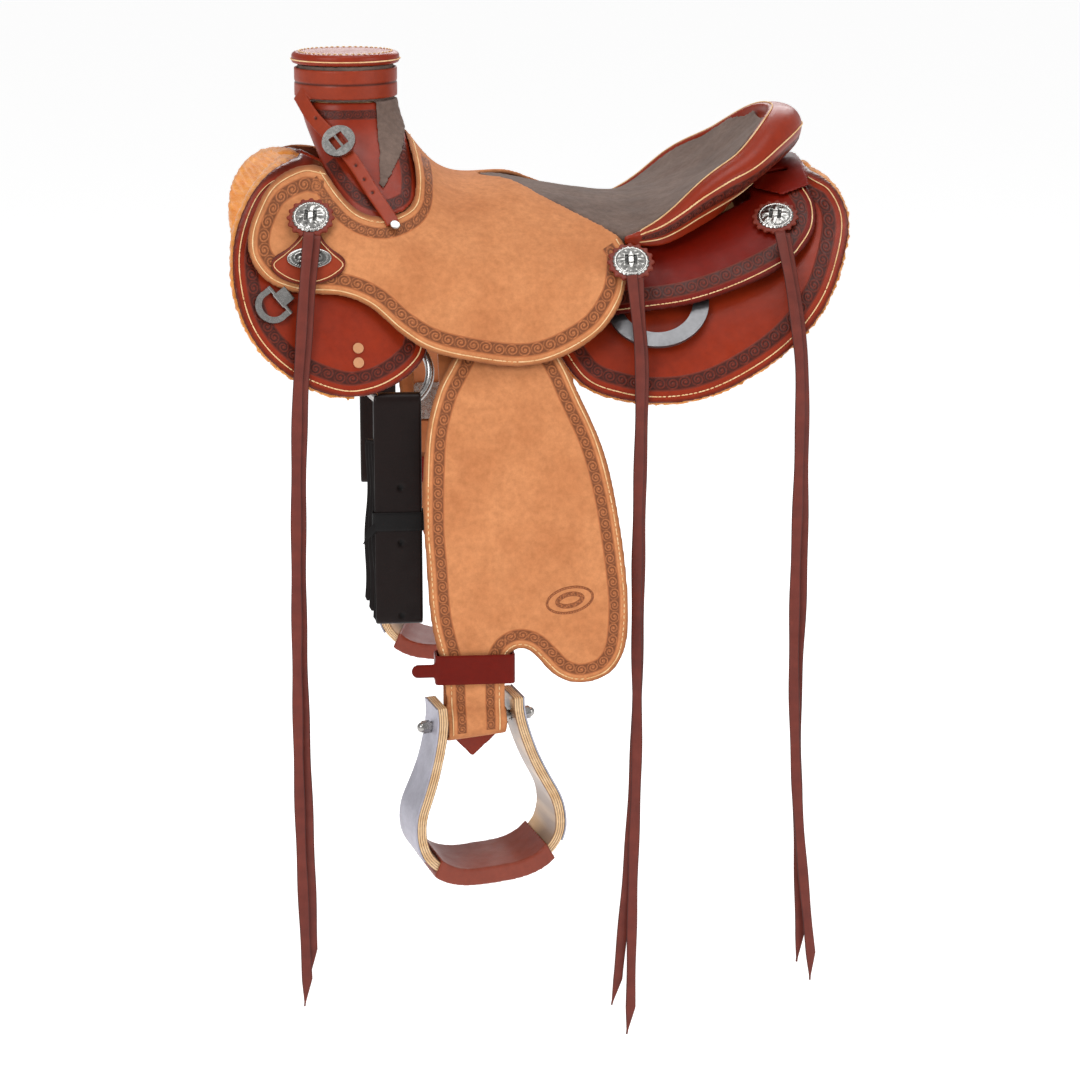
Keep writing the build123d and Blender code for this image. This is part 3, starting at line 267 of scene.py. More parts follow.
def wood_material(name, first, second, lines):
    """Bent laminated wood: thin plies across the strip's depth."""
    made, tree, shader = material(name)
    tone = mixed(tree, spread(tree, noise(tree, 22, 4, stretch=(1, 1, 5)), 0.3, 0.7), linear(first),
                 linear(second))
    tone = mixed(tree, spread(tree, attribute(tree, "ply"), 0.45, 0.75, 0, lines), tone,
                 linear((104, 66, 36)))
    tree.links.new(tone, shader.inputs["Base Color"])
    shader.inputs["Roughness"].default_value = 0.42
    shader.inputs["Coat Weight"].default_value = 0.3
    bumped(tree, shader, [(noise(tree, 90, 4, stretch=(1, 1, 8)), 0.3, 0.0002)])
    return made


thread = thread_material()
wool = wool_material()
laminated = wood_material("laminated_wood", (224, 190, 146), (200, 158, 108), 0.85)
bare_wood = wood_material("bare_wood", (196, 158, 110), (170, 126, 80), 0.0)


# ---- mesh helpers --------------------------------------------------------------------------
def points_of(mesh):
    co = np.zeros(len(mesh.vertices) * 3)
    mesh.vertices.foreach_get("co", co)
    return co.reshape(-1, 3)


def set_points(mesh, co):
    mesh.vertices.foreach_set("co", np.asarray(co, float).ravel())
    mesh.update()


def put_shade(mesh, values, name="shade"):
    layer = mesh.attributes.get(name) or mesh.attributes.new(name, "FLOAT", "POINT")
    layer.data.foreach_set("value", np.asarray(values, np.float32))


def piece(name, verts, faces, mat, body, shade=None):
    """A new mesh object that rides on a body; the floor rides on none."""
    mesh = bpy.data.meshes.new(name)
    mesh.from_pydata([tuple(v) for v in verts], [], [tuple(f) for f in faces])
    mesh.update()
    if shade is not None:
        put_shade(mesh, shade)
    mesh.polygons.foreach_set("use_smooth", [True] * len(mesh.polygons))
    mesh.materials.append(mat)
    made = bpy.data.objects.new(name, mesh)
    bpy.context.scene.collection.objects.link(made)
    if body:
        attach(made, body)
    return made


def applied(obj):
    """Replace obj's mesh with the mesh that its modifiers give."""
    graph = bpy.context.evaluated_depsgraph_get()
    mesh = bpy.data.meshes.new_from_object(obj.evaluated_get(graph))
    obj.modifiers.clear()
    obj.data = mesh


def body_name(node):
    return body_of(nodes[node])[0]


def softened(node, voxel, mat, slot_name, smooth=6):
    """A CAD node's shape with rounded edges and an even, fine mesh, which stands for the node."""
    made = bpy.data.objects.new(node + "_soft", nodes[node].data.copy())
    bpy.context.scene.collection.objects.link(made)
    made.data.materials.clear()
    remesh = made.modifiers.new("remesh", "REMESH")
    remesh.mode = "VOXEL"
    remesh.voxel_size = voxel * 1.0
    relax = made.modifiers.new("relax", "SMOOTH")
    relax.factor = 0.5
    relax.iterations = smooth
    applied(made)
    made.data.materials.clear()
    made.data.materials.append(mat)
    made.data.polygons.foreach_set("use_smooth", [True] * len(made.data.polygons))
    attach(made, body_name(node))
    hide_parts(node)
    return made


def normals_of(mesh):
    out = np.zeros(len(mesh.vertices) * 3)
    mesh.vertices.foreach_get("normal", out)
    return out.reshape(-1, 3)


def tree_of(obj):
    return BVHTree.FromPolygons([v.co for v in obj.data.vertices],
                                [p.vertices for p in obj.data.polygons])


def smoothed(points):
    """Closely spaced points on a Catmull-Rom line through a few points, its last one left out."""
    p = np.array(points, float)
    p = np.vstack([2 * p[0] - p[1], p, 2 * p[-1] - p[-2]])
    out = []
    for a, b, c, d in zip(p, p[1:], p[2:], p[3:]):
        for t in np.linspace(0, 1, 24, endpoint=False):
            out.append(0.5 * (2 * b + (c - a) * t + (2 * a - 5 * b + 4 * c - d) * t * t
                              + (3 * b - a - 3 * c + d) * t ** 3))
    return out


def curve_through(points, step=0.0015):
    """An evenly stepped smooth line through a few points."""
    return resampled(np.array(smoothed(points) + [np.array(points[-1], float)]), step)


def resampled(line, step):
    """A line's points again, evenly spaced at about a step."""
    runs = np.linalg.norm(np.diff(line, axis=0), axis=1)
    at = np.concatenate([[0], np.cumsum(runs)])
    count = max(3, int(at[-1] / step))
    s = np.linspace(0, at[-1], count)
    return np.stack([np.interp(s, at, line[:, k]) for k in range(line.shape[1])], axis=1)


def inset(line, distance):
    """A plane line moved sideways; positive is to the left of its direction. Loops are dropped."""
    run = np.gradient(line, axis=0)
    run /= np.linalg.norm(run, axis=1)[:, None] + 1e-12
    moved = line + distance * np.stack([-run[:, 1], run[:, 0]], axis=1)
    keep = []
    for i, point in enumerate(moved):
        gap = np.min(np.linalg.norm(line - point, axis=1))
        if gap > abs(distance) - LOOP_MARGIN:
            keep.append(i)
    return moved[keep] if len(keep) > 4 else moved


def facing_hit(tree, origin, way):
    """Where a ray meets a surface, and the normal there that faces the ray; None for a miss."""
    hit, normal, _, _ = tree.ray_cast(Vector(origin), Vector(way))
    if hit is None:
        return None
    if normal.dot(Vector(way)) > 0:
        normal = -normal
    return np.array(hit), np.array(normal)


def hits(tree, origins, ways, lift):
    """The points that rays meet, lifted off the surface, with normals."""
    places, outward = [], []
    for origin, way in zip(origins, ways):
        met = facing_hit(tree, origin, way)
        if met:
            places.append(met[0] + lift * met[1])
            outward.append(met[1])
    return np.array(places), np.array(outward)


def laid_on(tree, line, side, lift=0.0):
    """Points of an (x, z) line put on a surface that faces side (-1 near, 1 off), with normals."""
    return hits(tree, [(x, side * RAY_START, z) for x, z in line], [(0, -side, 0)] * len(line), lift)


def stitched(name, rows, body, pitch=0.0064, length=0.0042, width=0.0013):
    """Thread stitches along rows of (points, normals), all in one mesh."""
    verts, faces = [], []
    ring = 6
    swell = ((-0.5, 0.35), (-0.3, 0.95), (0, 1.1), (0.3, 0.95), (0.5, 0.35))
    for places, outward in rows:
        if len(places) < 4:
            continue
        both = resampled(np.hstack([places, outward]), pitch)
        ahead = np.gradient(both[:, :3], axis=0)
        for here, along in zip(both, ahead):
            place, up = here[:3], here[3:] / np.linalg.norm(here[3:])
            along = along / (np.linalg.norm(along) + 1e-12)
            across = np.cross(up, along)
            across += 0.12 * along
            start = len(verts)
            for k, (where, size) in enumerate(swell):
                middle = place + where * length * along + (0.25 - abs(where) * 0.8) * width * up
                for j in range(ring):
                    turn = 2 * math.pi * j / ring
                    verts.append(middle + size * width / 2
                                 * (math.cos(turn) * across + math.sin(turn) * up))
                if k:
                    a = start + (k - 1) * ring
                    for j in range(ring):
                        n = (j + 1) % ring
                        faces.append((a + j, a + n, a + ring + n, a + ring + j))
            faces.append(tuple(start + j for j in reversed(range(ring))))
            faces.append(tuple(start + 4 * ring + j for j in range(ring)))
    return piece(name, verts, faces, thread, body)


def scroll(u, v):
    """Height of one stamped motif, -1 to 1 both ways: a curled leaf round a seed."""
    r = np.hypot(u, v) + 1e-6
    angle = np.arctan2(v, u)
    turn = (r * 1.9 - angle / (2 * math.pi)) % 1.0
    leaf = np.clip(1 - np.abs(turn - 0.5) * 3.4, 0, 1)
    leaf *= np.clip((1.25 - r) * 3, 0, 1)
    seed = np.clip(1.6 - r * 7, 0, 1)
    veins = 0.25 * np.cos(angle * 9 + r * 4)
    return np.clip(np.maximum(leaf * (1 + veins), seed), 0, 1)


def side_rays(outer, width, side):
    """Rays onto one side of the saddle: a grid from an (x, z) line inwards, over a width."""
    rows = max(7, int(width / (0.0009)))
    line = resampled(outer, 0.0010)
    run = np.gradient(line, axis=0)
    run /= np.linalg.norm(run, axis=1)[:, None] + 1e-12
    pad = np.pad(run, ((4, 4), (0, 0)), mode="edge")
    run = np.stack([np.convolve(pad[:, k], np.ones(9) / 9, "valid") for k in range(2)], axis=1)
    across = np.stack([-run[:, 1], run[:, 0]], axis=1)
    grid = []
    for j in range(rows + 1):
        at = line + across * width * j / rows
        grid.append(np.stack([at[:, 0], np.full(len(at), side * RAY_START), at[:, 1]], axis=1))
    return np.array(grid), np.tile([0.0, -side, 0.0], (rows + 1, len(line), 1))


def tooled(name, tree, rays, mat, body, lift=0.0003, relief=0.0008, flipped=False):
    """A stamped border: a strip on the surface that the rays meet, with a motif in relief."""
    origins, ways = rays
    rows, count = origins.shape[0] - 1, origins.shape[1]
    middle = origins[rows // 2]
    length = np.concatenate([[0], np.cumsum(np.linalg.norm(np.diff(middle, axis=0), axis=1))])
    width = np.linalg.norm(origins[-1] - origins[0], axis=1).mean()
    cells = max(1, round(length[-1] / (width * 0.86)))
    phase = length / length[-1] * cells
    u = (phase % 1.0) * 2 - 1
    flip = np.where(np.floor(phase) % 2 == 0, 1.0, -1.0)
    verts, shade, index = [], [], {}
    for j in range(rows + 1):
        t = j / rows
        v = (t * 2 - 1) / 0.72
        motif = scroll(u * 1.05, v * flip) if abs(v) < 1.05 else np.zeros(count)
        beads = math.exp(-((t - 0.07) / 0.045) ** 2) + math.exp(-((t - 0.93) / 0.045) ** 2)
        rim = min(1.0, 6 * t, 6 * (1 - t))
        height = np.maximum(motif, beads * 0.9)
        for i in range(count):
            met = facing_hit(tree, origins[j, i], ways[j, i])
            if met is None:
                continue
            up = (lift + relief * height[i]) * rim - 0.0003 * (1 - rim)
            index[i, j] = len(verts)
            verts.append(met[0] + up * met[1])
            shade.append(float(np.clip(0.8 - 0.9 * height[i], 0, 1)) * rim)
    faces = []
    for j in range(rows):
        for i in range(count - 1):
            corners = [index.get(k) for k in ((i, j), (i + 1, j), (i + 1, j + 1), (i, j + 1))]
            if None in corners:
                continue
            if max(np.linalg.norm(verts[corners[0]] - verts[k]) for k in corners[1:]) < 0.009:
                faces.append(corners[::-1] if flipped else corners)
    return piece(name, verts, faces, mat, body, shade)


def gap_to(flat, target):
    """Each plane point's distance to the nearest of the target points, in blocks to save memory."""
    gap = np.full(len(flat), 9.0)
    for start in range(0, len(target), 64):
        part = target[start:start + 64]
        gap = np.minimum(gap, np.min(np.linalg.norm(flat[:, None] - part[None], axis=2), axis=1))
    return gap


def edge_shade(obj, lines, reach):
    """Burnished edges: 'shade' by the distance to outlines in x and z."""
    target = np.vstack([resampled(line, 0.002) for line in lines])
    gap = gap_to(points_of(obj.data)[:, [0, 2]], target)
    put_shade(obj.data, BURNISH * np.clip(1 - gap / reach, 0, 1) ** 0.6)


# ---- outlines, in millimetres, as x and z seen from the side ----------------------------------
skirt_edge = [
    (-262, 116), (-303, 104), (-325, 76), (-336, 33), (-329, -18), (-309, -56), (-275, -86),
    (-229, -105), (-195, -104), (-165, -92), (-143, -74), (-135, -56), (-131, -34), (-95, -24),
    (-45, -26), (-12, -52), (22, -99), (62, -116), (108, -121), (156, -114), (205, -92), (248, -62),
    (283, -22), (305, 24), (314, 60), (306, 87), (288, 98),
]
seat_edge = [
    (-237, 112), (-262, 115), (-295, 101), (-314, 74), (-320, 50), (-315, 29), (-297, 9),
    (-267, -2), (-226, -6), (-196, -18), (-167, -42), (-136, -60), (-95, -71), (-43, -78),
    (-2, -71), (41, -48), (66, -17), (74, 8), (76, 30), (71, 42),
]
fork_notch = [(-238, 112), (-221, 90), (-202, 74), (-176, 68), (-149, 77), (-142, 96), (-143, 120),
              (-150, 152)]
rear_edge = [
    (50, -34), (87, -30), (139, -23), (192, -7), (246, 17), (264, 31), (279, 50), (283, 72), (275, 92),
]
fender_edge = [(-84, -28), (-113, -73), (-131, -104), (-143, -150), (-146, -230), (-143, -285),
               (-139, -338), (-128, -385)]
fender_lobe = [(-61, -387), (-56, -376), (-47, -371), (-36, -374), (-24, -386), (-8, -402),
               (12, -410), (33, -408), (51, -398), (64, -375), (68, -332), (65, -289), (54, -215),
               (38, -152), (18, -106), (3, -73), (-26, -28)]
keeper_edge = [(-262, 64), (-268, 52), (-283, 40), (-296, 31), (-294, 21), (-277, 10), (-258, 6),
               (-238, 10), (-222, 20), (-220, 29), (-232, 40), (-243, 52), (-246, 64)]


def metres(points, rise=0.0):
    return [(x / 1000, z / 1000 + rise) for x, z in points]


# ---- camera, lights and floor ------------------------------------------------------------------
camera_data = bpy.data.cameras.new("camera")
camera_data.sensor_width = 36.0
camera_data.lens = 107.1
camera = bpy.data.objects.new("camera", camera_data)
bpy.context.scene.collection.objects.link(camera)
camera.location = (-0.3348, -3.4770, 0.5509)
target = Vector((0, 0, -0.320))
camera.rotation_euler = (target - camera.location).to_track_quat("-Z", "Y").to_euler()
bpy.context.scene.camera = camera

floor_z = cad_box[0].z - 0.012
floor = piece("floor", [(-30, -12, floor_z), (30, -12, floor_z), (30, 60, floor_z), (-30, 60, floor_z)],
              [(0, 1, 2, 3)], chestnut, None)
floor.data.materials.clear()
floor_paint, _, floor_shader = material("pale_floor")
floor_shader.inputs["Base Color"].default_value = (0.93, 0.93, 0.93, 1)
floor_shader.inputs["Roughness"].default_value = 0.9
floor_shader.inputs["Emission Color"].default_value = (1, 1, 1, 1)
floor_shader.inputs["Emission Strength"].default_value = 0.55
floor.data.materials.append(floor_paint)


def area_light(name, place, aim, size, power, tint=(1, 1, 1)):
    data = bpy.data.lights.new(name, "AREA")
    data.shape = "RECTANGLE"
    data.size, data.size_y = size
    data.energy = power
    data.color = tint
    made = bpy.data.objects.new(name, data)
    bpy.context.scene.collection.objects.link(made)
    made.location = place
    made.rotation_euler = (Vector(aim) - Vector(place)).to_track_quat("-Z", "Y").to_euler()
    return made


bpy.context.scene.view_settings.view_transform = "Standard"
world = bpy.data.worlds.new("studio")
bpy.context.scene.world = world
world.use_nodes = True
world.node_tree.nodes["Background"].inputs["Color"].default_value = (1, 1, 1, 1)
world.node_tree.nodes["Background"].inputs["Strength"].default_value = 0.45
area_light("key_left", (-2.2, -2.6, 1.6), (0, 0, -0.1), (1.6, 1.6), 52)
area_light("fill_right", (2.6, -2.4, 0.9), (0, 0, -0.2), (1.8, 1.8), 30)
area_light("top_soft", (0.2, -0.4, 2.6), (0, 0, 0), (2.0, 1.4), 30)
area_light("back_rim", (0.6, 2.8, 1.4), (0, 0, 0), (2.0, 1.2), 30)


# ---- hanging strings ---------------------------------------------------------------------------
def strap_along(name, line, outward, width, thick, mat, body, taper=0.03, twist=0.0):
    """A flat strap with rounded edges, whose last stretch narrows to a point."""
    steps = len(line)
    length = np.concatenate([[0], np.cumsum(np.linalg.norm(np.diff(line, axis=0), axis=1))])
    run = np.gradient(line, axis=0)
    run /= np.linalg.norm(run, axis=1)[:, None]
    profile = []
    for k in range(12):
        turn = 2 * math.pi * k / 12
        c, s = math.cos(turn), math.sin(turn)
        profile.append((math.copysign(abs(c) ** 0.35, c) / 2, math.copysign(abs(s) ** 0.7, s) / 2))
    verts, shade = [], []
    for i in range(steps):
        up = outward - run[i] * np.dot(outward, run[i])
        up /= np.linalg.norm(up)
        swing = twist * math.sin(length[i] / 0.11 + 1.3 * twist) * min(1, length[i] / 0.15)
        across = np.cross(run[i], up)
        across, up = (math.cos(swing) * across + math.sin(swing) * up,
                      math.cos(swing) * up - math.sin(swing) * across)
        left = length[-1] - length[i]
        narrow = max(0.14, min(1.0, left / taper)) * (1 - 0.12 * math.sin(length[i] * 31) ** 2)
        for a, b in profile:
            skew = 0.35 * max(0.0, 1 - left / taper)
            verts.append(line[i] + across * width * (a * narrow + skew) + up * thick * b)
            shade.append(0.75 if abs(a) > 0.45 else 0.15 * abs(math.sin(length[i] * 140)))
    faces = []
    for i in range(steps - 1):
        for k in range(12):
            n = (k + 1) % 12
            faces.append((i * 12 + k, i * 12 + n, (i + 1) * 12 + n, (i + 1) * 12 + k))
    faces.append(tuple(reversed(range(12))))
    faces.append(tuple((steps - 1) * 12 + k for k in range(12)))
    return piece(name, verts, faces, mat, body, shade)


def nurbs_line(route):
    """Points along the smooth spline whose control points are the route, in metres."""
    data = bpy.data.curves.new("route", "CURVE")
    data.dimensions = "3D"
    spline = data.splines.new("NURBS")
    spline.points.add(len(route) - 1)
    for point, place in zip(spline.points, route):
        point.co = (*place, 1)
    spline.order_u = 3
    spline.use_endpoint_u = True
    spline.resolution_u = 24
    carrier = bpy.data.objects.new("route", data)
    bpy.context.scene.collection.objects.link(carrier)
    bpy.context.view_layer.update()
    mesh = bpy.data.meshes.new_from_object(carrier)
    line = points_of(mesh)
    bpy.data.objects.remove(carrier)
    return line


routes = {
    "string_front_a": [
        (-0.257, -0.196, 0.060), (-0.261, -0.208, 0.028), (-0.265, -0.224, -0.010),
        (-0.269, -0.238, -0.058), (-0.273, -0.2475, -0.100), (-0.276, -0.246, -0.200),
        (-0.278, -0.248, -0.340), (-0.279, -0.247, -0.500), (-0.277, -0.248, -0.640),
        (-0.273, -0.248, -0.766)],
    "string_front_b": [
        (-0.250, -0.193, 0.056), (-0.254, -0.203, 0.024), (-0.259, -0.220, -0.014),
        (-0.263, -0.233, -0.060), (-0.267, -0.243, -0.102), (-0.271, -0.241, -0.200),
        (-0.273, -0.242, -0.340), (-0.271, -0.241, -0.490), (-0.268, -0.242, -0.620),
        (-0.267, -0.242, -0.735)],
    "string_mid_a": [
        (0.076, -0.205, 0.012), (0.080, -0.202, -0.024), (0.083, -0.222, -0.064),
        (0.082, -0.234, -0.122), (0.080, -0.236, -0.210), (0.079, -0.235, -0.350),
        (0.082, -0.236, -0.490), (0.077, -0.235, -0.650), (0.076, -0.236, -0.817)],
    "string_mid_b": [
        (0.083, -0.202, 0.008), (0.085, -0.1985, -0.027), (0.087, -0.218, -0.066),
        (0.086, -0.230, -0.124), (0.084, -0.231, -0.210), (0.083, -0.230, -0.360),
        (0.080, -0.231, -0.500), (0.073, -0.230, -0.640), (0.060, -0.231, -0.785)],
    "string_rear_a": [
        (0.237, -0.165, 0.049), (0.242, -0.196, 0.010), (0.247, -0.215, -0.038),
        (0.250, -0.235, -0.088), (0.250, -0.234, -0.190), (0.248, -0.233, -0.320),
        (0.249, -0.234, -0.450), (0.258, -0.233, -0.600), (0.277, -0.234, -0.762)],
    "string_rear_b": [
        (0.243, -0.162, 0.046), (0.247, -0.192, 0.008), (0.252, -0.211, -0.040),
        (0.255, -0.231, -0.090), (0.256, -0.228, -0.190), (0.258, -0.227, -0.320),
        (0.252, -0.228, -0.460), (0.259, -0.227, -0.600), (0.263, -0.228, -0.743)],
}
for k, (name, route) in enumerate(routes.items()):
    line = resampled(nurbs_line(route), 0.005)
    made = strap_along(name.replace("string", "thong"), line, np.array([0, -1.0, 0.25]), 0.0118,
                       0.0026, string_red, "saddle", twist=0.16 + 0.05 * (k % 3))
    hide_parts(name)

# ---- leather panels -----------------------------------------------------------------------------
for side, tag in ((-1, "left"), (1, "right")):
    # skirts, with stitches and a stamped border; their woolly lining is made further down
    skirt = softened(f"skirt_{tag}", 0.0019, chestnut, "chestnut_leather")
    edge = curve_through(metres(skirt_edge))
    edge_shade(skirt, [edge], reach=0.0045)
    ground = tree_of(skirt)
    stitched(f"skirt_stitches_{tag}", [laid_on(ground, inset(edge, 0.007), side, THREAD_LIFT)],
             "saddle")
    tooled(f"skirt_border_{tag}", ground, side_rays(inset(edge, 0.0115), 0.0155, side), chestnut_deep,
           "saddle", flipped=side > 0)
    # rear jockeys
    rear = softened(f"rear_jockey_{tag}", 0.0017, jockey_red, "chestnut_leather")
    edge = curve_through(metres(rear_edge))
    edge_shade(rear, [edge], reach=0.004)
    ground = tree_of(rear)
    stitched(f"rear_jockey_stitches_{tag}", [laid_on(ground, inset(edge, 0.005), side, THREAD_LIFT)],
             "saddle")
    tooled(f"rear_jockey_border_{tag}", ground, side_rays(inset(edge, 0.0085), 0.0145, side),
           chestnut_deep, "saddle", flipped=side > 0)
    # fenders
    body = ("near" if side < 0 else "off") + "_fender"
    rise = 0.0 if side < 0 else OFF_RAISE
    fender = softened(f"fender_{tag}", 0.0019, tan, "tan_roughout")
    front = curve_through(metres(fender_edge, rise))
    lobe = curve_through(metres(fender_lobe, rise))
    edge_shade(fender, [front, lobe], reach=0.004)
    ground = tree_of(fender)
    stitched(f"fender_stitches_{tag}",
             [laid_on(ground, inset(front, 0.005), side, THREAD_LIFT),
              laid_on(ground, inset(lobe, 0.005), side, THREAD_LIFT)], body)
    for k, (size, band) in enumerate(((1.0, 0.0034), (0.62, 0.0062))):
        oval = [(0.006 + size * (0.0255 * math.cos(t) + 0.0016 * math.sin(t)),
                 -0.3195 + rise + size * (0.0155 * math.sin(t) + 0.0026 * math.cos(t)))
                for t in np.linspace(0, 2 * math.pi, 120)]
        tooled(f"fender_stamp_{k}_{tag}", ground, side_rays(np.array(oval), band, side), tan_tooled,
               body, relief=0.0005, flipped=side > 0)
    for part_name, line in (("front", front), ("lobe", lobe)):
        tooled(f"fender_border_{part_name}_{tag}", ground, side_rays(inset(line, 0.008), 0.0145, side),
               tan_tooled, body, flipped=side > 0)

jockey = softened("seat_jockey", 0.0019, tan, "tan_roughout")
edge = curve_through(metres(seat_edge))
notch = curve_through(metres(fork_notch))
edge_shade(jockey, [edge, notch], reach=0.004)
ground = tree_of(jockey)
for side, tag in ((-1, "left"), (1, "right")):
    stitched(f"jockey_stitches_{tag}",
             [laid_on(ground, inset(edge, 0.005), side, THREAD_LIFT),
              laid_on(ground, inset(notch, -0.005), side, THREAD_LIFT)], "saddle")
    tooled(f"jockey_border_{tag}", ground, side_rays(inset(edge, 0.0085), 0.0155, side), tan_tooled,
           "saddle", flipped=side > 0)
    tooled(f"notch_border_{tag}", ground, side_rays(inset(notch, -0.0085)[::-1], 0.012, side),
           tan_tooled, "saddle", flipped=side > 0)

# ---- smaller leather pieces, wool and pad ---------------------------------------------------------
soft_nodes = (
    ("latigo_keeper", 0.0011, strap_red, "chestnut_leather"),
    ("cantle_roll", 0.0018, chestnut, "chestnut_leather"),
    ("fork_cover", 0.0018, chestnut, "chestnut_leather"),
    ("horn_cap", 0.0012, chestnut, "chestnut_leather"),
    ("horn_strap", 0.0011, strap_red, "strap_leather"),
    ("rosettes", 0.0009, chestnut_deep, "chestnut_leather"),
    ("rear_jockey_plate", 0.0014, jockey_red, "chestnut_leather"),
    ("hobble_strap_left", 0.0012, hobble, "strap_leather"),
    ("hobble_strap_right", 0.0016, hobble, "strap_leather"),
    ("stirrup_tread_left", 0.0014, tread, "tread_leather"),
    ("stirrup_tread_right", 0.0018, tread, "tread_leather"),
    ("latigo", 0.0016, latigo_dark, "latigo_leather"),
    ("latigo_tie", 0.0010, black, "black_leather"),
    ("off_billet", 0.0016, latigo_dark, "latigo_leather"),
)
soft = {row[0]: softened(*row) for row in soft_nodes}


def bumps(obj, size, height, seed):
    """Moves the surface in and out by a smooth random field with lumps of a given size."""
    co = points_of(obj.data)
    out = normals_of(obj.data)
    draw = np.random.default_rng(seed)
    field = np.zeros(len(co))
    for _ in range(14):
        way = draw.normal(size=3)
        way *= 2 * math.pi / (size * draw.uniform(0.7, 1.5) * np.linalg.norm(way))
        field += np.sin(co @ way + draw.uniform(0, 6.28))
    field /= 3.2
    set_points(obj.data, co + out * (height * np.clip(field, -1.2, 1.2))[:, None])


for tag in ("left", "right"):
    fleece = softened(f"fleece_{tag}", 0.0032, wool, "fleece", smooth=3)
    bumps(fleece, 0.007, 0.0009, 5)
pad = softened("seat_pad", 0.0026, grey, "grey_suede", smooth=8)
bumps(pad, 0.05, 0.0005, 11)
wrap = softened("horn_wrap", 0.0016, grey, "grey_suede", smooth=5)
bumps(wrap, 0.006, 0.00025, 12)

# ---- fork, horn and cantle details -----------------------------------------------------------------
def along_line(points, step=0.004):
    return resampled(np.array(points, float), step)


fork_ground = tree_of(soft["fork_cover"])
for side, tag in ((-1, "left"), (1, "right")):
    tooled(f"fork_notch_border_{tag}", fork_ground, side_rays(inset(notch, 0.003), 0.013, side),
           chestnut_deep, "saddle", flipped=side > 0)
    tooled(f"fork_top_border_{tag}", fork_ground,
           side_rays(along_line([(-0.262, 0.158), (-0.157, 0.158)]), 0.011, side), chestnut_deep,
           "saddle", flipped=side > 0)

# rim of the cantle: x, distance from the middle, height, facing and depth, in millimetres
rim = (
    (248, 0, 163, 0, 87), (241, 38, 160, 19, 84), (222, 75, 145, 34, 74), (196, 106, 123, 47, 60),
    (174, 121, 110, 60, 54), (151, 132, 94, 68, 46), (131, 138, 76, 75, 37), (112, 142, 61, 80, 28),
    (92, 145, 50, 83, 17),
)


def rim_line(step=0.001):
    """The rim from the near front round to the off front: x, y, z, facing and depth."""
    near = [(x / 1000, -w / 1000, z / 1000, -math.radians(a), d / 1000)
            for x, w, z, a, d in rim[:0:-1]]
    off = [(x / 1000, w / 1000, z / 1000, math.radians(a), d / 1000) for x, w, z, a, d in rim]
    return resampled(np.array(smoothed(near + off)), step)


def rim_rays(low, high, rows):
    """Level rays onto the cantle's roll, between two shares of its depth."""
    line = rim_line(0.001)
    ways = np.stack([np.cos(line[:, 3]), np.sin(line[:, 3]), np.zeros(len(line))], axis=1)
    origins = []
    for j in range(rows + 1):
        drop = line[:, 4] * (low + (high - low) * j / rows)
        place = line[:, :3] + 0.09 * ways
        place[:, 2] -= drop
        origins.append(place)
    return np.array(origins), np.tile(-ways, (rows + 1, 1, 1))


cantle_ground = tree_of(soft["cantle_roll"])
tooled("cantle_border", cantle_ground, rim_rays(0.62, 0.30, 16), chestnut_deep, "saddle",
       flipped=True)


rays = rim_rays(0.20, 0.70, 1)
line = rim_line(0.003)
outs = np.stack([np.cos(line[:, 3]), np.sin(line[:, 3]), np.zeros(len(line))], axis=1)
above = line[:, :3] + 0.0055 * outs + [0, 0, 0.1]
stitched("cantle_stitches",
         [hits(cantle_ground, rays[0][0], rays[1][0], THREAD_LIFT),
          hits(cantle_ground, rays[0][1], rays[1][1], THREAD_LIFT),
          hits(cantle_ground, above, np.tile([0, 0, -1.0], (len(line), 1)), THREAD_LIFT)],
         "saddle")

# the horn's cap: a stitched line round its edge, and the two turns of the strap
cap_low, cap_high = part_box("horn_cap")
cap_mid = (cap_low + cap_high) / 2
ring = []
for k in range(181):
    turn = 2 * math.pi * k / 180
    ring.append((cap_mid.x + (cap_high.x - cap_low.x - 0.016) / 2 * math.cos(turn),
                 (cap_high.y - cap_low.y - 0.016) / 2 * math.sin(turn), cap_high.z + 0.05))
cap_ground = tree_of(soft["horn_cap"])
stitched("horn_cap_stitches", [hits(cap_ground, ring, [(0, 0, -1.0)] * len(ring), THREAD_LIFT)],
         "saddle")
belt = []
for k in range(181):
    turn = 2 * math.pi * k / 180
    belt.append((cap_mid.x + 0.1 * math.cos(turn), 0.1 * math.sin(turn), cap_mid.z - 0.0015))
inward = [(10 * (cap_mid.x - x), -10 * y, 0) for x, y, _ in belt]
stitched("horn_rim_stitches", [hits(cap_ground, belt, inward, THREAD_LIFT)], "saddle")
strap = soft["horn_strap"]
co, out = points_of(strap.data), normals_of(strap.data)
# the gap between the strap's two turns and its punched holes are pressed in and painted dark: painted
# shade
radial = np.hypot(co[:, 0] + 0.210, co[:, 1])
turns = np.exp(-((co[:, 2] - 0.1945) / 0.0011) ** 2) * (radial > 0.05) * (radial < 0.06)
holes = [(-0.2445, 0.161), (-0.2045, 0.1165), (-0.1965, 0.1035), (-0.1885, 0.0915)]
dots = np.zeros(len(co))
for x, z in holes:
    hole = np.clip(1.6 - np.hypot(co[:, 0] - x, co[:, 2] - z) / 0.0014, 0, 1)
    dots = np.maximum(dots, hole * (co[:, 1] < 0))
set_points(strap.data, co - out * (0.0008 * turns + 0.0009 * dots)[:, None])
put_shade(strap.data, np.maximum(turns, dots))

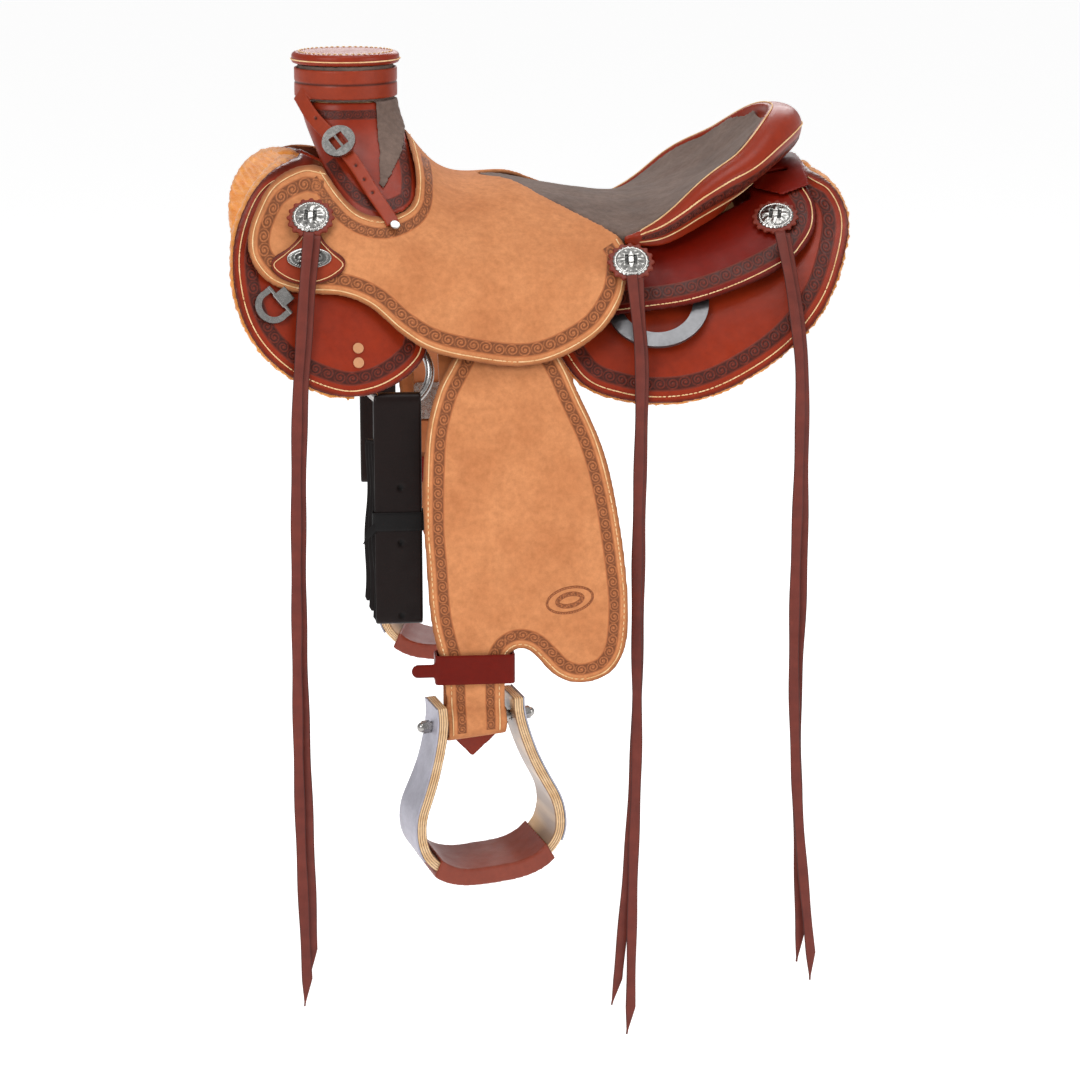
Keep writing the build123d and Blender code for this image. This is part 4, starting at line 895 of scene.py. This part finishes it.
# keeper: stitched edge; the plate gets a generic engraved scroll
keeper_ground = tree_of(soft["latigo_keeper"])
edge = curve_through(metres(keeper_edge))
edge_shade(soft["latigo_keeper"], [edge], reach=0.003)
stitched("keeper_stitches", [laid_on(keeper_ground, inset(edge, 0.0035), -1, 0.0003)], "saddle",
         pitch=0.0042, length=0.003, width=0.0009)
plate = softened("keeper_plate", 0.0006, silver, "silver", smooth=3)
co, out = points_of(plate.data), normals_of(plate.data)
u, v = (co[:, 0] + 0.257) / 0.0225, (co[:, 2] - 0.033) / 0.0098
r = np.hypot(u, v)
leafy = np.maximum(scroll((u - 0.42) * 2.2, v * 1.25), scroll((u + 0.42) * 2.2, -v * 1.25)) * (r < 0.74)
beads = np.exp(-((r - 0.86) / 0.06) ** 2) * (0.6 + 0.4 * np.cos(np.arctan2(v, u) * 40))
set_points(plate.data, co + out * (0.00035 * np.maximum(leafy, beads))[:, None])
put_shade(plate.data, np.clip(0.75 - leafy - beads, 0, 1) * (r < 0.95) * 0.8)

# the latigo's punched holes, and a line pressed along its edges; both are painted dark: painted shade
# in the holes and grooves
latigo = soft["latigo"]
co, out = points_of(latigo.data), normals_of(latigo.data)
low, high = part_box("latigo")
front = out[:, 1] < -0.6
dots = np.zeros(len(co))
for z in (-0.203, -0.262, -0.341):
    x = high.x - 0.0225
    hole = np.clip(1.7 - np.hypot(co[:, 0] - x, co[:, 2] - z) / 0.0026, 0, 1)
    dots = np.maximum(dots, hole * front)
plies = 0.5 + 0.5 * np.cos((co[:, 1] - low.y) / 0.0042 * 2 * math.pi)
side_walls = np.abs(out[:, 0]) > 0.6
set_points(latigo.data, co - out * (0.0016 * dots + 0.0007 * plies * side_walls)[:, None])
put_shade(latigo.data, np.maximum(dots, 0.9 * plies * side_walls))

# its inner plies, which show at the left, and the tie's tail
for k in range(3):
    x = low.x + 0.0215 - 0.0028 * (k + 1)
    y = low.y + 0.0065 + 0.0036 * k
    bottom = low.z + 0.004 + 0.010 * k
    line = along_line([(x, y, high.z - 0.05), (x - 0.001, y, (high.z + low.z) / 2),
                       (x - 0.002 * k, y, bottom)])
    strap_along(f"latigo_ply_{k}", line, np.array([0, -1.0, 0]), 0.043, 0.0026, latigo_dark,
                "near_latigo", taper=0.0001)
tie_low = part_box("latigo_tie")[0]
tail = [(tie_low.x + 0.004, tie_low.y + 0.001, tie_low.z + 0.006),
        (tie_low.x - 0.003, tie_low.y + 0.001, tie_low.z - 0.002),
        (tie_low.x - 0.007, tie_low.y + 0.002, tie_low.z - 0.014)]
strap_along("latigo_tie_tail", along_line(tail, 0.002), np.array([0, -1.0, 0]), 0.008, 0.0018, black,
            "near_latigo", taper=0.012)

# the tip under the stirrup is chestnut, and the wrap has stitches and bands along its edges
for side, tag, rise in ((-1, "left", 0.0), (1, "right", OFF_RAISE)):
    fender = bpy.data.objects[f"fender_{tag}_soft"]
    fender.data.materials.append(chestnut)
    for face in fender.data.polygons:
        if face.center.z < -0.4662 + rise:
            face.material_index = 1
    ground = tree_of(fender)
    body = ("near" if side < 0 else "off") + "_fender"
    rows = []
    for k, ends in enumerate(([(-0.1225, -0.398), (-0.1215, -0.458)],
                              [(-0.064, -0.456), (-0.064, -0.400)])):
        line = along_line([(x, z + rise) for x, z in ends])
        rows.append(laid_on(ground, inset(line, 0.004), side, THREAD_LIFT))
        tooled(f"wrap_border_{k}_{tag}", ground, side_rays(inset(line, 0.0075), 0.012, side),
               tan_tooled, body, flipped=side > 0)
    stitched(f"wrap_stitches_{tag}", rows, body)

# ---- nodes whose CAD shape stays -------------------------------------------------------------------
kept = {
    "tree_bars": bare_wood, "tree_fork": bare_wood, "cantle_board": chestnut,
    "ground_seat": raw_leather, "horn_strap_buckle": silver, "horn_strap_screw": silver,
    "rigging_rings": steel, "rigging_tabs": latigo_dark, "skirt_rivets": raw_leather,
    "breast_dee_loops": steel, "rear_dee_tabs": black,
}
for tag in ("left", "right"):
    kept |= {
        f"breast_dee_{tag}": steel, f"rear_dee_{tag}": darkened_rough_steel, f"stirrup_leather_{tag}": skirting,
        f"leather_buckle_{tag}": steel, f"buckle_sleeve_{tag}": skirting,
        f"stirrup_cover_{tag}": sheet_metal, f"stirrup_bolt_{tag}": steel,
    }
for node, mat in kept.items():
    slots = nodes[node].data.materials
    slots.clear()
    slots.append(mat)

# ---- engraved conchos --------------------------------------------------------------------------------
def islands(obj):
    """The separate solids of a node, each as its vertices."""
    shell = bmesh.new()
    shell.from_mesh(obj.data)
    bmesh.ops.remove_doubles(shell, verts=shell.verts, dist=1e-5)
    left, found = set(shell.verts), []
    while left:
        stack, group = [left.pop()], []
        while stack:
            v = stack.pop()
            group.append(np.array(v.co))
            for edge_of in v.link_edges:
                other = edge_of.other_vert(v)
                if other in left:
                    left.discard(other)
                    stack.append(other)
        found.append(np.array(group))
    shell.free()
    return found


def concho_mesh(points, radius=0.019, height=0.0042):
    """A domed disc with a rope edge, engraved petals and two slots for the string."""
    lowest, highest = points.min(0), points.max(0)
    middle = (lowest + highest) / 2
    _, _, axes = np.linalg.svd(points - points.mean(0))
    out = axes[2] * (1 if axes[2][1] * middle[1] > 0 else -1)
    depth = (points - middle) @ out
    base = middle + out * depth.min()
    along = np.cross([0, 0, 1.0], out)
    along /= np.linalg.norm(along)
    up = np.cross(out, along)
    rings, spokes = 46, 150
    verts, shade, faces = [], [], []
    for i in range(rings + 1):
        r = i / rings
        for j in range(spokes):
            a = 2 * math.pi * j / spokes
            dome = height * (1 - r ** 2.6) * 0.9 + 0.0006
            petal = math.cos(a * 8) * math.exp(-((r - 0.56) / 0.2) ** 2)
            spike = max(0.0, math.cos(a * 16)) ** 3 * math.exp(-((r - 0.76) / 0.07) ** 2)
            rope = math.exp(-((r - 0.92) / 0.05) ** 2) * (0.7 + 0.5 * math.cos(a * 44 + r * 30))
            groove = math.exp(-((r - 0.83) / 0.018) ** 2) + math.exp(-((r - 0.24) / 0.03) ** 2)
            dome += 0.00045 * petal + 0.0004 * spike + 0.0006 * rope - 0.0005 * groove
            x, y = r * radius * math.cos(a), r * radius * math.sin(a)
            slit = abs(abs(x) - 0.0045) < 0.0017 and abs(y) < 0.007
            if slit:
                dome -= 0.0022
            edge_wave = 1 + 0.022 * math.cos(a * 22) * r ** 6
            verts.append(base + along * x * edge_wave + up * y * edge_wave + out * dome)
            # the slots are painted dark: painted shade in them
            cut = 0.55 * max(0, -petal) + 0.7 * groove + 0.4 * max(0, 0.5 - rope) * (r > 0.87)
            shade.append(0.9 if slit else min(1.0, cut))
    for i in range(rings):
        for j in range(spokes):
            n = (j + 1) % spokes
            a, b = i * spokes, (i + 1) * spokes
            faces.append((a + j, b + j, b + n, a + n) if i else (b + j, b + n, j))
    rim = rings * spokes
    start = len(verts)
    # the rim's side wall, painted dark: painted shade
    for j in range(spokes):
        verts.append(np.array(verts[rim + j]) - out * 0.0012)
        shade.append(0.8)
    for j in range(spokes):
        n = (j + 1) % spokes
        faces.append((rim + j, start + j, start + n, rim + n))
    faces.append(tuple(start + j for j in reversed(range(spokes))))
    return verts, faces, shade


verts, faces, shade = [], [], []
for group in islands(nodes["conchos"]):
    v, f, s = concho_mesh(group)
    faces += [tuple(k + len(verts) for k in face) for face in f]
    verts += v
    shade += s
conchos = piece("conchos_engraved", verts, faces, silver, "saddle", shade)
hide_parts("conchos")

# ---- laminated stirrup frames ------------------------------------------------------------------------
stirrup_half = [
    (0, -164), (30, -161), (50, -155), (64, -146), (74, -134), (79, -120), (80, -105), (77, -87),
    (69, -68), (59, -44), (50, -14), (46, 8), (46, 25),
]
PLY_PITCH = 0.0024
yaw, roll = math.radians(11), math.radians(3.5)
for side, tag, rise in ((-1, "left", 0.0), (1, "right", OFF_RAISE)):
    bow = softened(f"stirrup_frame_{tag}", 0.0010 if side < 0 else 0.0014, laminated,
                   "laminated_wood", smooth=4)
    axis = np.array([math.cos(roll) * math.cos(yaw), -side * math.cos(roll) * math.sin(yaw),
                     math.sin(roll)])
    upward = np.array([-math.sin(roll), 0, math.cos(roll)])
    centre = np.array([-0.092, side * 0.2544, -0.449 + rise])
    co = points_of(bow.data) - centre
    flat = np.stack([co @ axis, co @ upward], axis=1)
    half = curve_through([(u / 1000, w / 1000) for u, w in stirrup_half], 0.001)
    whole = np.vstack([half[::-1] * [-1, 1], half])
    put_shade(bow.data, 0.5 + 0.5 * np.cos(gap_to(flat, whole) / PLY_PITCH * 2 * math.pi), "ply")
